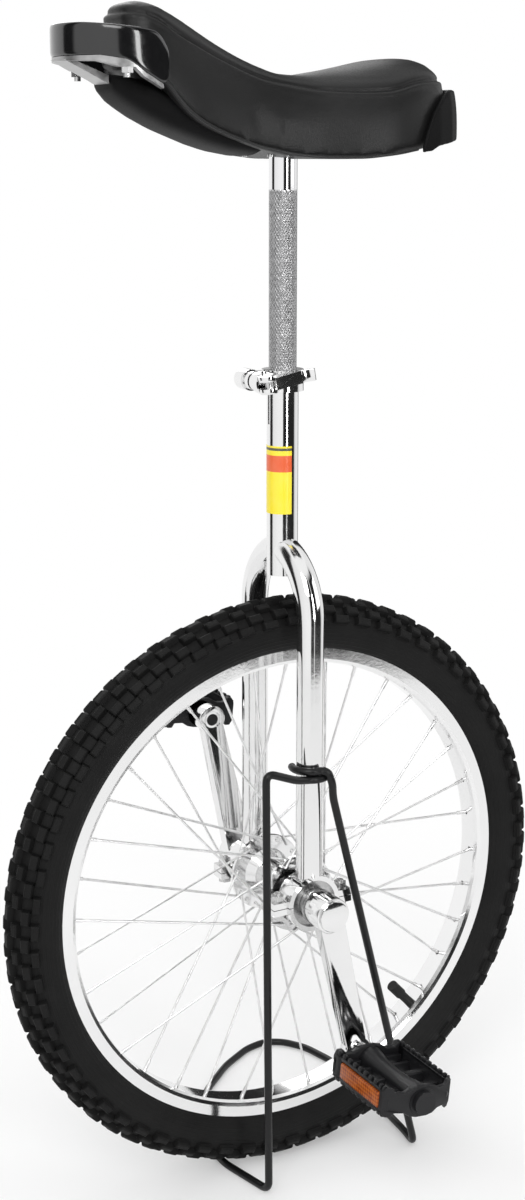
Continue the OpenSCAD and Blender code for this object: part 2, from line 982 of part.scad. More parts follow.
module square_end(side, h) {
    translate([-side / 2, 0, -side / 2])
        cube([side, h, side]);
}

module axle() {
    color("lightgray")
        at_axle()
            difference() {
                union() {
                    y_bar(axle_r, -boss_in, boss_in);
                    both_sides()
                        rotate([0, crank_turn, 0])
                            translate([0, boss_in - 0.01, 0])
                                intersection() {
                                    square_end(square_w, square_l);
                                    y_bar(axle_r - 0.4, -1, square_l + 1);
                                }
                }
                both_sides()
                    y_bar(4 + seat_fit, boss_in - 8, boss_in + square_l + 2);
            }
}

module bearing_inner_rings() {
    color("lightgray")
        at_axle()
            both_sides()
                y_turned()
                    difference() {
                        translate([axle_r + seat_fit, bearing_in])
                            square([ball_pcr - race_half - axle_r - seat_fit, bearing_w]);
                        translate([ball_pcr, leg_y])
                            circle(r = ball_r + run_fit);
                    }
}

module bearing_balls() {
    color("silver")
        at_axle()
            both_sides()
                for (i = [0 : ball_n - 1])
                    translate(polar(ball_pcr, i * 360 / ball_n, leg_y))
                        sphere(r = ball_r, $fn = 32);
}

module hub_spacers() {
    color("gray")
        at_axle()
            both_sides()
                y_ring(axle_r + seat_fit, ball_pcr - race_half - 0.2, hub_end, bearing_in);
}

module axle_collars() {
    color("gray")
        at_axle()
            both_sides()
                y_ring(axle_r + seat_fit, ball_pcr - race_half - 0.2, bearing_out, boss_in);
}

// ---- cranks and pedals ----

// A crank pointing straight up on the left side
module crank() {
    difference() {
        union() {
            y_bar(boss_r, boss_in, boss_out);
            translate([0, crank_out, 0])
                rotate([90, 0, 0])
                    linear_extrude(height = crank_t)
                        polygon([[-crank_w / 2, 0], [crank_w / 2, 0], [crank_w / 2 - 3, crank_l],
                            [3 - crank_w / 2, crank_l]]);
            translate([0, 0, crank_l])
                y_bar(crank_w / 2, crank_out - crank_t, crank_out);
        }
        translate([0, boss_in - 1, 0])
            intersection() {
                square_end(square_w + 0.1, square_l + 2);
                y_bar(axle_r - 0.35, -1, square_l + 4);
            }
        y_bar(cap_r - 2 + seat_fit, boss_in + square_l, boss_out + 1);
        translate([0, 0, crank_l])
            y_bar(thread_r + seat_fit, 0, 200);
    }
}

module left_crank() {
    color("silver")
        at_axle()
            rotate([0, crank_turn + 180, 0])
                crank();
}

module right_crank() {
    color("silver")
        at_axle()
            on_right()
                rotate([0, crank_turn, 0])
                    crank();
}

module crank_bolts() {
    color("gray")
        at_axle()
            both_sides() {
                y_bar(4, boss_in - 7, boss_in + square_l + 1);
                translate([0, boss_in + square_l, 0])
                    rotate([-90, 0, 0])
                        hex_bar(14, 5);
            }
}

module crank_dust_caps() {
    color("gainsboro")
        at_axle()
            both_sides() {
                y_bar(cap_r, boss_out, boss_out + 2.5);
                y_ring(cap_r - 4, cap_r - 2, boss_out - 3, boss_out + 0.5);
            }
}

module at_left_pedal() {
    translate([-crank_l * sin(crank_turn), 0, axle_z - crank_l * cos(crank_turn)])
        children();
}

module at_right_pedal() {
    translate([crank_l * sin(crank_turn), 0, axle_z + crank_l * cos(crank_turn)])
        on_right()
            children();
}

module pedal_spindle() {
    color("lightgray") {
        y_bar(thread_r, crank_out - crank_t, crank_out);
        y_bar(thread_r + 2, crank_out, crank_out + 2);
        translate([0, crank_out + 2, 0])
            rotate([-90, 0, 0])
                hex_bar(15, 6);
        y_bar(spindle_r, crank_out + 2, pedal_out - 4);
    }
}

module left_pedal_spindle() {
    at_left_pedal()
        pedal_spindle();
}

module right_pedal_spindle() {
    at_right_pedal()
        pedal_spindle();
}

reflector_l = 62;
reflector_h = 15;

module reflector_block(grow) {
    for (s = [-1, 1])
        translate([s * (pedal_w / 2 - 0.5) - 3, (pedal_in + pedal_out - reflector_l) / 2 - grow,
            -reflector_h / 2 - grow])
            cube([6, reflector_l + 2 * grow, reflector_h + 2 * grow]);
}

module pedal_body() {
    half_h = pedal_h / 2 - 3;
    color("black")
        rotate([0, -pedal_tilt, 0])
            difference() {
                union() {
                    y_bar(barrel_r, pedal_in, pedal_out);
                    for (y = [pedal_in, pedal_out - 6])
                        translate([-pedal_w / 2, y, -half_h])
                            cube([pedal_w, 6, 2 * half_h]);
                    for (s = [-1, 1]) {
                        translate([s * (pedal_w / 2 - cage_t / 2) - cage_t / 2, pedal_in, -half_h])
                            cube([cage_t, pedal_l, 2 * half_h]);
                        for (i = [0 : tooth_n - 1])
                            translate([s * (pedal_w / 2 - cage_t / 2) - cage_t / 2,
                                pedal_in + (i + 0.25) * pedal_l / tooth_n, -pedal_h / 2])
                                cube([cage_t, pedal_l / tooth_n / 2, pedal_h]);
                    }
                    for (i = [1 : 3])
                        translate([-pedal_w / 2 + 1, pedal_in + i * pedal_l / 4 - 1.5, -5])
                            cube([pedal_w - 2, 3, 10]);
                }
                y_bar(spindle_r + run_fit, 0, 300);
                y_bar(thread_r + 2, 0, pedal_in + 1);
                reflector_block(0.1);
            }
}

module left_pedal_body() {
    at_left_pedal()
        pedal_body();
}

module right_pedal_body() {
    at_right_pedal()
        pedal_body();
}

module left_pedal_reflectors() {
    color("darkorange")
        at_left_pedal()
            rotate([0, -pedal_tilt, 0])
                reflector_block(0);
}

module right_pedal_reflectors() {
    color("darkorange")
        at_right_pedal()
            rotate([0, -pedal_tilt, 0])
                reflector_block(0);
}

module pedal_end_cap() {
    color("black") {
        y_bar(barrel_r - 1.5, pedal_out, pedal_out + 4);
        y_bar(spindle_r, pedal_out - 3, pedal_out + 1);
    }
}

module left_pedal_end_cap() {
    at_left_pedal()
        pedal_end_cap();
}

module right_pedal_end_cap() {
    at_right_pedal()
        pedal_end_cap();
}

seat_tube();
left_fork_leg();
right_fork_leg();
left_bearing_holder();
right_bearing_holder();
left_bearing_cap();
right_bearing_cap();
bearing_cap_bolts();
bearing_cap_nuts();
left_bearing_outer_ring();
right_bearing_outer_ring();
seat_tube_sticker();
clamp_collar();
clamp_skewer();
clamp_washers();
clamp_pivot_pin();
clamp_lever();
clamp_nut();
wire_stand();
seatpost();
saddle_plate();
saddle_bolts();
saddle_nuts();
saddle_base();
saddle_foam();
saddle_cover();
saddle_piping();
front_handle();
handle_bracket();
handle_bolts();
rear_bumper();
tyre();
inner_tube();
valve_stem();
valve_cap();
rim();
rim_tape();
spokes();
spoke_nipples();
hub_shell();
axle();
bearing_inner_rings();
bearing_balls();
hub_spacers();
axle_collars();
left_crank();
right_crank();
crank_bolts();
crank_dust_caps();
left_pedal_spindle();
right_pedal_spindle();
left_pedal_body();
right_pedal_body();
left_pedal_reflectors();
right_pedal_reflectors();
left_pedal_end_cap();
right_pedal_end_cap();
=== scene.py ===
import bpy
import bmesh
import json
import math
from mathutils import Matrix, Vector


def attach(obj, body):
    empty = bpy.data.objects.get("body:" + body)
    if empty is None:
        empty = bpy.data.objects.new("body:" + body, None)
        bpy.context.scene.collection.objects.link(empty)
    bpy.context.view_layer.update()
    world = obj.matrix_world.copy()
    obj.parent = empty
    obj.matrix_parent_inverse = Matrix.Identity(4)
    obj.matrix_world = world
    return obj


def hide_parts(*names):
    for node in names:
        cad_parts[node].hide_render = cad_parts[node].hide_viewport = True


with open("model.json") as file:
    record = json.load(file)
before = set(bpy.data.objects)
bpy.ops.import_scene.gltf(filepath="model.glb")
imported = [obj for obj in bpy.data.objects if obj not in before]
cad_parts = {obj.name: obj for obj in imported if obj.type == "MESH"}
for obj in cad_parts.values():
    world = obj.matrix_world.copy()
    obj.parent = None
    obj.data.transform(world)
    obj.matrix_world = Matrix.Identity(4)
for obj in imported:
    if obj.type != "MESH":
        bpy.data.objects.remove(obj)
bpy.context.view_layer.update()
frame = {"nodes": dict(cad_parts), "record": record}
record = frame["record"]
scene = bpy.context.scene
print("frame loaded:", len(frame["nodes"]), "parts")

axle = Vector((0, 0, 0.25))


camera = {"place": (0.7241, 1.2640, 0.8506), "aim": (0.0183, 0, 0.4985), "lens": 54.9}


def addCamera():
    data = bpy.data.cameras.new("viewCamera")
    data.lens = camera["lens"]
    data.sensor_width = 36
    data.clip_start = 0.05
    cam = bpy.data.objects.new("viewCamera", data)
    cam.location = camera["place"]
    aim = Vector(camera["aim"]) - Vector(camera["place"])
    cam.rotation_euler = aim.to_track_quat("-Z", "Y").to_euler()
    scene.collection.objects.link(cam)
    scene.camera = cam


def addNode(tree, kind, inputs=None, **settings):
    node = tree.nodes.new(kind)
    for key, value in settings.items():
        setattr(node, key, value)
    for key, value in (inputs or {}).items():
        if isinstance(value, bpy.types.NodeSocket):
            tree.links.new(value, node.inputs[key])
        else:
            node.inputs[key].default_value = value
    return node


def calc(tree, how, a, b=None, c=None):
    inputs = {0: a}
    if b is not None:
        inputs[1] = b
    if c is not None:
        inputs[2] = c
    return addNode(tree, "ShaderNodeMath", inputs, operation=how).outputs[0]


def ramp(tree, factor, stops, ease="LINEAR"):
    node = addNode(tree, "ShaderNodeValToRGB", {"Fac": factor})
    node.color_ramp.interpolation = ease
    band = node.color_ramp.elements
    while len(band) < len(stops):
        band.new(0.5)
    for element, (at, tone) in zip(band, stops):
        element.position = at
        element.color = (tone, tone, tone, 1) if isinstance(tone, (int, float)) else (*tone, 1)
    return node.outputs["Color"]


def newFinish(name):
    mat = bpy.data.materials.new(name)
    mat.use_nodes = True
    tree = mat.node_tree
    return mat, tree, tree.nodes["Principled BSDF"]


def objectSpot(tree):
    return addNode(tree, "ShaderNodeTexCoord").outputs["Object"]


def noise(tree, spot, scale, detail=3, rough=0.5):
    return addNode(tree, "ShaderNodeTexNoise", {"Vector": spot, "Scale": scale, "Detail": detail,
        "Roughness": rough}).outputs["Fac"]


def bump(tree, height, strength, distance, under=None):
    inputs = {"Height": height, "Strength": strength, "Distance": distance}
    if under is not None:
        inputs["Normal"] = under
    return addNode(tree, "ShaderNodeBump", inputs).outputs["Normal"]


def chromeFinish(name, tone=0.82, roughLow=0.05, roughHigh=0.13, ripple=0.04):
    mat, tree, shader = newFinish(name)
    spot = objectSpot(tree)
    cloud = noise(tree, spot, 38, 4)
    speck = noise(tree, spot, 420, 2)
    shader.inputs["Metallic"].default_value = 1
    tree.links.new(ramp(tree, cloud, [(0.3, tone * 0.97), (0.7, tone)]), shader.inputs["Base Color"])
    rough = addNode(tree, "ShaderNodeMapRange", {"Value": cloud, "From Min": 0.3, "From Max": 0.7,
        "To Min": roughLow, "To Max": roughHigh}).outputs[0]
    tree.links.new(rough, shader.inputs["Roughness"])
    tree.links.new(bump(tree, speck, ripple, 0.0004), shader.inputs["Normal"])
    return mat


def steelFinish(name, tone=0.55, rough=0.3, grain=260, relief=0.15):
    mat, tree, shader = newFinish(name)
    spot = objectSpot(tree)
    stretched = addNode(tree, "ShaderNodeMapping", {"Vector": spot, "Scale": (1, 0.15, 1)}).outputs[0]
    streak = noise(tree, stretched, grain, 3)
    shader.inputs["Metallic"].default_value = 1
    tree.links.new(ramp(tree, streak, [(0.3, tone * 0.86), (0.7, tone * 1.08)]),
        shader.inputs["Base Color"])
    tree.links.new(calc(tree, "MULTIPLY_ADD", streak, 0.2, rough - 0.1), shader.inputs["Roughness"])
    tree.links.new(bump(tree, streak, relief, 0.0003), shader.inputs["Normal"])
    return mat


post = {"radius": 0.0111, "pitch": 0.0023, "slope": 0.55, "knurlEnd": (0.823, 0.825),
    "smoothTone": (0.82, 0.82, 0.83, 1), "knurlTone": (0.46, 0.46, 0.465, 1)}


def knurlRidges(tree, around, z, how):
    # one of the two sets of slanting ridges
    slanted = calc(tree, how, around, calc(tree, "MULTIPLY", z, post["slope"]))
    return calc(tree, "SINE", calc(tree, "MULTIPLY", slanted, 2 * math.pi / post["pitch"]))


def postFinish():
    # smooth chrome at the top, knurled below it
    mat, tree, shader = newFinish("postChrome")
    spot = objectSpot(tree)
    x, y, z = addNode(tree, "ShaderNodeSeparateXYZ", {"Vector": spot}).outputs
    around = calc(tree, "MULTIPLY", calc(tree, "ARCTAN2", y, x), post["radius"])
    diamonds = calc(tree, "MINIMUM", knurlRidges(tree, around, z, "ADD"),
        knurlRidges(tree, around, z, "SUBTRACT"))
    grit = noise(tree, spot, 900, 2)
    rough = calc(tree, "ADD", calc(tree, "MULTIPLY", diamonds, 0.5), grit)
    knurled, smooth = post["knurlEnd"]
    zone = addNode(tree, "ShaderNodeMapRange", {"Value": z, "From Min": knurled, "From Max": smooth,
        "To Min": 1, "To Max": 0}).outputs[0]
    cloud = noise(tree, spot, 60, 3)
    shader.inputs["Metallic"].default_value = 1
    tone = addNode(tree, "ShaderNodeMix", {0: zone, 6: post["smoothTone"], 7: post["knurlTone"]},
        data_type="RGBA").outputs[2]
    # the knurled zone is darkened in random patches
    patchy = ramp(tree, noise(tree, spot, 330, 4, 0.7), [(0.36, 0.5), (0.62, 1.0)])
    knurlPatched = addNode(tree, "ShaderNodeMix", {0: calc(tree, "MULTIPLY", zone, 0.8), 6: tone, 7: patchy},
        data_type="RGBA", blend_type="MULTIPLY").outputs[2]
    tree.links.new(knurlPatched, shader.inputs["Base Color"])
    gloss = calc(tree, "MULTIPLY_ADD", zone, 0.2, calc(tree, "MULTIPLY_ADD", cloud, 0.06, 0.04))
    tree.links.new(gloss, shader.inputs["Roughness"])
    tree.links.new(bump(tree, calc(tree, "MULTIPLY", rough, zone), 0.7, 0.0004), shader.inputs["Normal"])
    return mat


def plasticFinish(name, colour, rough=0.45, grain=700, relief=0.12, coat=0.0, spread=0.12, shine=0.25):
    mat, tree, shader = newFinish(name)
    spot = objectSpot(tree)
    fine = noise(tree, spot, grain, 3)
    cloud = noise(tree, spot, 25, 3)
    dark = tuple(c * (1 - spread) for c in colour)
    light = tuple(min(1, c * (1 + spread)) for c in colour)
    tree.links.new(ramp(tree, cloud, [(0.3, dark), (0.7, light)]), shader.inputs["Base Color"])
    tree.links.new(calc(tree, "MULTIPLY_ADD", fine, 0.16, rough - 0.08), shader.inputs["Roughness"])
    shader.inputs["Specular IOR Level"].default_value = shine
    shader.inputs["Coat Weight"].default_value = coat
    shader.inputs["Coat Roughness"].default_value = 0.04
    tree.links.new(bump(tree, fine, relief, 0.0003), shader.inputs["Normal"])
    return mat


def vinylFinish(name="blackVinyl", tone=0.006, rough=0.42):
    # leather-grain vinyl: small rounded cells with a soft sheen
    mat, tree, shader = newFinish(name)
    spot = objectSpot(tree)
    cells = addNode(tree, "ShaderNodeTexVoronoi", {"Vector": spot, "Scale": 850},
        feature="SMOOTH_F1").outputs["Distance"]
    soft = noise(tree, spot, 18, 3)
    dark, light = (tone * 0.85,) * 3, (tone * 1.2, tone * 1.2, tone * 1.22)
    tree.links.new(ramp(tree, soft, [(0.3, dark), (0.7, light)]), shader.inputs["Base Color"])
    tree.links.new(calc(tree, "MULTIPLY_ADD", cells, 0.2, rough - 0.08), shader.inputs["Roughness"])
    shader.inputs["Specular IOR Level"].default_value = 0.3
    shader.inputs["Sheen Weight"].default_value = 0.02
    shader.inputs["Sheen Roughness"].default_value = 0.5
    tree.links.new(bump(tree, cells, 0.22, 0.0003), shader.inputs["Normal"])
    return mat


tyreWall = {"ringPitch": 0.0032, "ringEnd": (0.232, 0.236)}


def rubberFinish(name, tone=0.0055, rough=0.6, rings=True):
    # black rubber, with fine moulded rings on the tyre's wall
    mat, tree, shader = newFinish(name)
    spot = objectSpot(tree)
    centred = addNode(tree, "ShaderNodeVectorMath", {0: spot, 1: tuple(-axle)}, operation="ADD").outputs[0]
    x, _, z = addNode(tree, "ShaderNodeSeparateXYZ", {"Vector": centred}).outputs
    outward = calc(tree, "SQRT",
        calc(tree, "ADD", calc(tree, "MULTIPLY", x, x), calc(tree, "MULTIPLY", z, z)))
    cloud = noise(tree, spot, 30, 4)
    fine = noise(tree, spot, 600, 3)
    dark, dusty = (tone * 0.8,) * 3, (tone * 1.5, tone * 1.48, tone * 1.45)
    tree.links.new(ramp(tree, cloud, [(0.3, dark), (0.75, dusty)]), shader.inputs["Base Color"])
    tree.links.new(calc(tree, "MULTIPLY_ADD", fine, 0.2, rough - 0.1), shader.inputs["Roughness"])
    shader.inputs["Specular IOR Level"].default_value = 0.17
    grain = bump(tree, fine, 0.15, 0.0003)
    if rings:
        lines = calc(tree, "SINE", calc(tree, "MULTIPLY", outward, 2 * math.pi / tyreWall["ringPitch"]))
        narrow = calc(tree, "POWER", calc(tree, "MAXIMUM", lines, 0), 6)
        ringed, plain = tyreWall["ringEnd"]
        wall = addNode(tree, "ShaderNodeMapRange", {"Value": outward, "From Min": ringed,
            "From Max": plain, "To Min": 1, "To Max": 0}).outputs[0]
        grain = bump(tree, calc(tree, "MULTIPLY", narrow, wall), 0.5, 0.0004, grain)
    tree.links.new(grain, shader.inputs["Normal"])
    return mat


sticker = {"low": 0.570, "high": 0.625, "yellow": (0.93, 0.76, 0.015), "block": (0.78, 0.1, 0.02),
    "rule": (0.05, 0.05, 0.04), "faded": (0.9, 0.86, 0.6, 1)}


def stickerFinish():
    # plain yellow film with one plain orange-red block and a thin dark rule over it
    mat, tree, shader = newFinish("stickerFilm")
    spot = objectSpot(tree)
    z = addNode(tree, "ShaderNodeSeparateXYZ", {"Vector": spot}).outputs[2]
    high = addNode(tree, "ShaderNodeMapRange", {"Value": z, "From Min": sticker["low"],
        "From Max": sticker["high"]}).outputs[0]
    bands = ramp(tree, high, [(0, sticker["yellow"]), (0.62, sticker["block"]), (0.86, sticker["yellow"]),
        (0.93, sticker["rule"]), (0.97, sticker["yellow"])], "CONSTANT")
    wear = noise(tree, spot, 120, 4)
    tone = addNode(tree, "ShaderNodeMix", {0: calc(tree, "MULTIPLY", wear, 0.12), 6: bands,
        7: sticker["faded"]}, data_type="RGBA").outputs[2]
    tree.links.new(tone, shader.inputs["Base Color"])
    tree.links.new(calc(tree, "MULTIPLY_ADD", wear, 0.2, 0.22), shader.inputs["Roughness"])
    tree.links.new(bump(tree, wear, 0.1, 0.0004), shader.inputs["Normal"])
    return mat


def reflectorFinish():
    # orange lens with a prism grid behind its face; the amber is painted darker at each prism's centre and
    # lighter at its edges, painted shade and painted glints of the prisms over the lens's own uneven tone
    mat, tree, shader = newFinish("amberReflector")
    spot = objectSpot(tree)
    turned = addNode(tree, "ShaderNodeMapping",
        {"Vector": spot, "Rotation": (0, math.radians(6), 0)}).outputs[0]
    prisms = addNode(tree, "ShaderNodeTexVoronoi", {"Vector": turned, "Scale": 330, "Randomness": 0.0},
        feature="F1", distance="MANHATTAN").outputs["Distance"]
    cloud = noise(tree, spot, 160, 2)
    # painted shade in each prism's hollow and painted glints at its edges, mixed with the lens's own uneven
    # amber
    mixed = calc(tree, "MULTIPLY_ADD", cloud, 0.5, calc(tree, "MULTIPLY", prisms, 0.6))
    amber = ramp(tree, mixed,
        [(0.2, (0.05, 0.01, 0.003)), (0.5, (0.22, 0.04, 0.006)), (0.85, (0.42, 0.11, 0.014))])
    tree.links.new(amber, shader.inputs["Base Color"])
    tree.links.new(calc(tree, "MULTIPLY_ADD", cloud, 0.1, 0.12), shader.inputs["Roughness"])
    shader.inputs["Specular IOR Level"].default_value = 0.2
    shader.inputs["Coat Weight"].default_value = 0.12
    shader.inputs["Coat Roughness"].default_value = 0.08
    tree.links.new(bump(tree, prisms, 0.25, 0.0005), shader.inputs["Normal"])
    return mat


def foamFinish():
    mat, tree, shader = newFinish("seatFoam")
    spot = objectSpot(tree)
    pores = addNode(tree, "ShaderNodeTexVoronoi", {"Vector": spot, "Scale": 1200}).outputs["Distance"]
    # the pores are painted darker at their centres: painted shade in their hollows
    tree.links.new(ramp(tree, pores, [(0.1, (0.05, 0.05, 0.05)), (0.6, (0.14, 0.14, 0.14))]),
        shader.inputs["Base Color"])
    shader.inputs["Roughness"].default_value = 0.95
    tree.links.new(bump(tree, pores, 0.4, 0.0005), shader.inputs["Normal"])
    return mat


finishes = {
    "chrome_frame": chromeFinish("frameChrome"),
    "chrome_post": postFinish(),
    "chrome_clamp": chromeFinish("clampChrome", 0.84, 0.06, 0.14),
    "chrome_rim": chromeFinish("rimChrome", 0.86, 0.06, 0.14),
    "chrome_hub": chromeFinish("hubChrome", 0.8, 0.06, 0.16),
    "chrome_crank": chromeFinish("crankChrome", 0.82, 0.05, 0.12),
    "zinc_fasteners": steelFinish("zincPlate", 0.62, 0.26),
    "bearing_steel": steelFinish("groundSteel", 0.5, 0.24),
    "spoke_steel": steelFinish("spokeWire", 0.84, 0.32, 90, 0.03),
    "steel_plate": steelFinish("pressedSteel", 0.42, 0.34),
    "black_wire": plasticFinish("blackWire", (0.006, 0.006, 0.0065), 0.36, 500, 0.1, 0.1),
    "sticker_film": stickerFinish(),
    "black_base_plastic": plasticFinish("basePlastic", (0.004, 0.004, 0.0042), 0.56, 900, 0.25, shine=0.1),
    "saddle_foam": foamFinish(),
    "black_vinyl": vinylFinish(),
    "vinyl_piping": vinylFinish("pipingVinyl", 0.018, 0.36),
    "gloss_black_handle": plasticFinish("glossHandle", (0.006, 0.006, 0.0065), 0.15, 300, 0.02, 0.6,
        shine=0.5),
    "tyre_rubber": rubberFinish("tyreRubber"),
    "tube_rubber": rubberFinish("tubeRubber", 0.02, 0.5, False),
    "valve_rubber": rubberFinish("valveRubber", 0.014, 0.45, False),
    "pedal_plastic": plasticFinish("pedalPlastic", (0.008, 0.008, 0.009), 0.4, 650, 0.15, shine=0.3),
    "amber_reflector": reflectorFinish(),
}

for part in record["subparts"]:
    mesh = frame["nodes"][part["node"]].data
    mesh.materials.clear()
    mesh.materials.append(finishes[part["material_slot"]])
print("finishes on", len(record["subparts"]), "parts")


def finishPiece(bm, name, slot, body, nodes=(), sharp=35):
    # the bmesh becomes a piece that rides on its body and takes its slot's finish
    mesh = bpy.data.meshes.new(name)
    bm.to_mesh(mesh)
    bm.free()
    return placePiece(mesh, name, slot, body, nodes, sharp)


def placePiece(mesh, name, slot, body, nodes=(), sharp=35):
    mesh.materials.clear()
    mesh.materials.append(finishes[slot])
    mesh.shade_smooth()
    mesh.set_sharp_from_angle(angle=math.radians(sharp))
    piece = bpy.data.objects.new(name, mesh)
    scene.collection.objects.link(piece)
    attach(piece, body)
    if nodes:
        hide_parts(*nodes)
    return piece


def loftRings(bm, rings):
    # each ring is a circle moved onto its points and bridged to the one before, and the ends are closed
    loops = []
    for ring in rings:
        made = bmesh.ops.create_circle(bm, segments=len(ring), radius=1)["verts"]
        for vert, spot in zip(made, ring):
            vert.co = spot
        loops.append(list({edge for vert in made for edge in vert.link_edges}))
    for near, far in zip(loops, loops[1:]):
        bmesh.ops.bridge_loops(bm, edges=near + far)
    for edges in (loops[0], loops[-1]):
        bmesh.ops.contextual_create(bm, geom=edges)
    bmesh.ops.recalc_face_normals(bm, faces=bm.faces)


def along(table, x, column=1):
    # a value read between the stations of a table, by its first column
    if x <= table[0][0]:
        return table[0][column]
    for a, b in zip(table, table[1:]):
        if x <= b[0]:
            part = (x - a[0]) / (b[0] - a[0])
            return a[column] + part * (b[column] - a[column])
    return table[-1][column]


def smoothAlong(table, x, column=1, reach=6):
    # the same, eased over a short stretch so that no station shows
    return sum(along(table, x + d * reach, column) for d in (-1, -0.5, 0, 0.5, 1)) / 5


def tubeMesh(name, points, radius, sides):
    data = bpy.data.curves.new(name, "CURVE")
    data.dimensions = "3D"
    data.bevel_depth = radius
    data.bevel_resolution = sides
    data.use_fill_caps = True
    spline = data.splines.new("POLY")
    spline.points.add(len(points) - 1)
    for point, spot in zip(spline.points, points):
        point.co = (*spot, 1)
    curve = bpy.data.objects.new(name + "Line", data)
    scene.collection.objects.link(curve)
    depth = bpy.context.evaluated_depsgraph_get()
    mesh = bpy.data.meshes.new_from_object(curve.evaluated_get(depth))
    bpy.data.objects.remove(curve)
    bm = bmesh.new()
    bm.from_mesh(mesh)
    bmesh.ops.remove_doubles(bm, verts=bm.verts, dist=1e-6)
    bmesh.ops.recalc_face_normals(bm, faces=bm.faces)
    bm.to_mesh(mesh)
    bm.free()
    mesh.name = name
    return mesh


def copiedNode(node):
    bm = bmesh.new()
    bm.from_mesh(frame["nodes"][node].data)
    bmesh.ops.remove_doubles(bm, verts=bm.verts, dist=2e-6)
    return bm


def bodyOf(node):
    return next(body for body, nodes in record["behaviour"]["bodies"].items() if node in nodes)


def slotOf(node):
    return next(part["material_slot"] for part in record["subparts"] if part["node"] == node)


def softenEdges(bm, width, segments, over=38):
    edges = [edge for edge in bm.edges if len(edge.link_faces) == 2
        and edge.calc_face_angle(0) > math.radians(over)]
    bmesh.ops.bevel(bm, geom=edges, offset=width, affect="EDGES", segments=segments, profile=0.5,
        material=-1, clamp_overlap=True)


def softened(node, name, width, segments):
    # a cast or pressed part with its sharp edges broken
    bm = copiedNode(node)
    bmesh.ops.dissolve_limit(bm, angle_limit=math.radians(1.5), verts=bm.verts, edges=bm.edges)
    softenEdges(bm, width, segments)
    return finishPiece(bm, name, slotOf(node), bodyOf(node), (node,), 32)


def remeshed(bm, name, voxel):
    # the shape as one skin of small even faces
    mesh = bpy.data.meshes.new(name)
    bm.to_mesh(mesh)
    bm.free()
    source = bpy.data.objects.new(name, mesh)
    scene.collection.objects.link(source)
    remesh = source.modifiers.new("remesh", "REMESH")
    remesh.mode = "VOXEL"
    remesh.voxel_size = voxel
    depth = bpy.context.evaluated_depsgraph_get()
    even = bpy.data.meshes.new_from_object(source.evaluated_get(depth))
    bpy.data.objects.remove(source)
    return even


def moulded(node, name, voxel, passes):
    # a moulded part: its faceted solid remeshed finely and smoothed
    fine = remeshed(copiedNode(node), name + "Rough", voxel)
    bm = bmesh.new()
    bm.from_mesh(fine)
    for _ in range(passes):
        bmesh.ops.smooth_vert(bm, verts=bm.verts, factor=0.5, use_axis_x=True, use_axis_y=True,
            use_axis_z=True)
    return finishPiece(bm, name, slotOf(node), bodyOf(node), (node,), 80)


tyre = {"casingCentre": 0.2235, "casingRadius": 0.0213, "wall": 0.0032, "casingReach": 152,
    "blockTop": 0.0263, "blockSunk": 0.0008, "blockTaper": 0.8, "blockEdge": 0.0009, "pitches": 66,
    # tilt in degrees, width, length, shift round the tyre in pitches
    "rows": ((0, 0.0088, 0.0150, 0), (23, 0.0072, 0.0128, 0.5), (45, 0.0078, 0.0135, 0),
        (64, 0.0070, 0.0150, 0.5))}


def addCasing(bm):
    reach = tyre["casingReach"]
    outer = [(math.radians(a), tyre["casingRadius"]) for a in range(-reach, reach + 1, 8)]
    inner = [(a, tyre["casingRadius"] - tyre["wall"]) for a, _ in reversed(outer)]
    profile = []
    for angle, r in outer + inner:
        out, across = r * math.cos(angle), r * math.sin(angle)
        profile.append(bm.verts.new((tyre["casingCentre"] + out, across, axle.z)))
    edges = [bm.edges.new((profile[i - 1], profile[i])) for i in range(len(profile))]
    bmesh.ops.spin(bm, geom=profile + edges, cent=axle, axis=(0, 1, 0), angle=2 * math.pi, steps=144,
        use_merge=True)
    bmesh.ops.remove_doubles(bm, verts=bm.verts, dist=1e-6)
    bmesh.ops.recalc_face_normals(bm, faces=bm.faces)


def addTreadRow(bm, tilt, wide, long, shift):
    # one tapered block, set on the casing and repeated round it
    step = 2 * math.pi / tyre["pitches"]
    high = tyre["blockTop"] - tyre["casingRadius"] + tyre["blockSunk"]
    made = bmesh.ops.create_cube(bm, size=1)["verts"]
    bmesh.ops.scale(bm, vec=(high, wide, long), verts=made)
    for vert in made:
        if vert.co.x > 0:
            vert.co.y *= tyre["blockTaper"]
            vert.co.z *= tyre["blockTaper"]
    block = list({face for vert in made for face in vert.link_faces})
    rim = list({edge for vert in made for edge in vert.link_edges if min(v.co.x for v in edge.verts) > 0})
    bevelled = bmesh.ops.bevel(bm, geom=rim, offset=tyre["blockEdge"], affect="EDGES", segments=1,
        profile=0.5, material=-1)
    start = list({vert for face in block if face.is_valid for vert in face.verts} | set(bevelled["verts"]))
    place = Matrix.Rotation(shift * step, 4, "Y") @ Matrix.Translation((tyre["casingCentre"], 0, 0)) \
        @ Matrix.Rotation(math.radians(tilt), 4, "Z") \
        @ Matrix.Translation((tyre["casingRadius"] - tyre["blockSunk"] + high / 2, 0, 0))
    bmesh.ops.transform(bm, matrix=Matrix.Translation(axle) @ place, verts=start)
    shape = list({face for vert in start for face in vert.link_faces})
    bmesh.ops.recalc_face_normals(bm, faces=shape)
    parts = start + list({edge for vert in start for edge in vert.link_edges}) + shape
    bmesh.ops.spin(bm, geom=parts, cent=axle, axis=(0, 1, 0), angle=2 * math.pi - step,
        steps=tyre["pitches"] - 1, use_duplicate=True)


def makeTyre():
    bm = bmesh.new()
    addCasing(bm)
    for tilt, wide, long, shift in tyre["rows"]:
        for side in ((1,) if tilt == 0 else (1, -1)):
            addTreadRow(bm, tilt * side, wide, long, shift)
    return finishPiece(bm, "knobTyre", "tyre_rubber", "wheel", ("tyre",), 30)


makeTyre()
print("tyre ready")


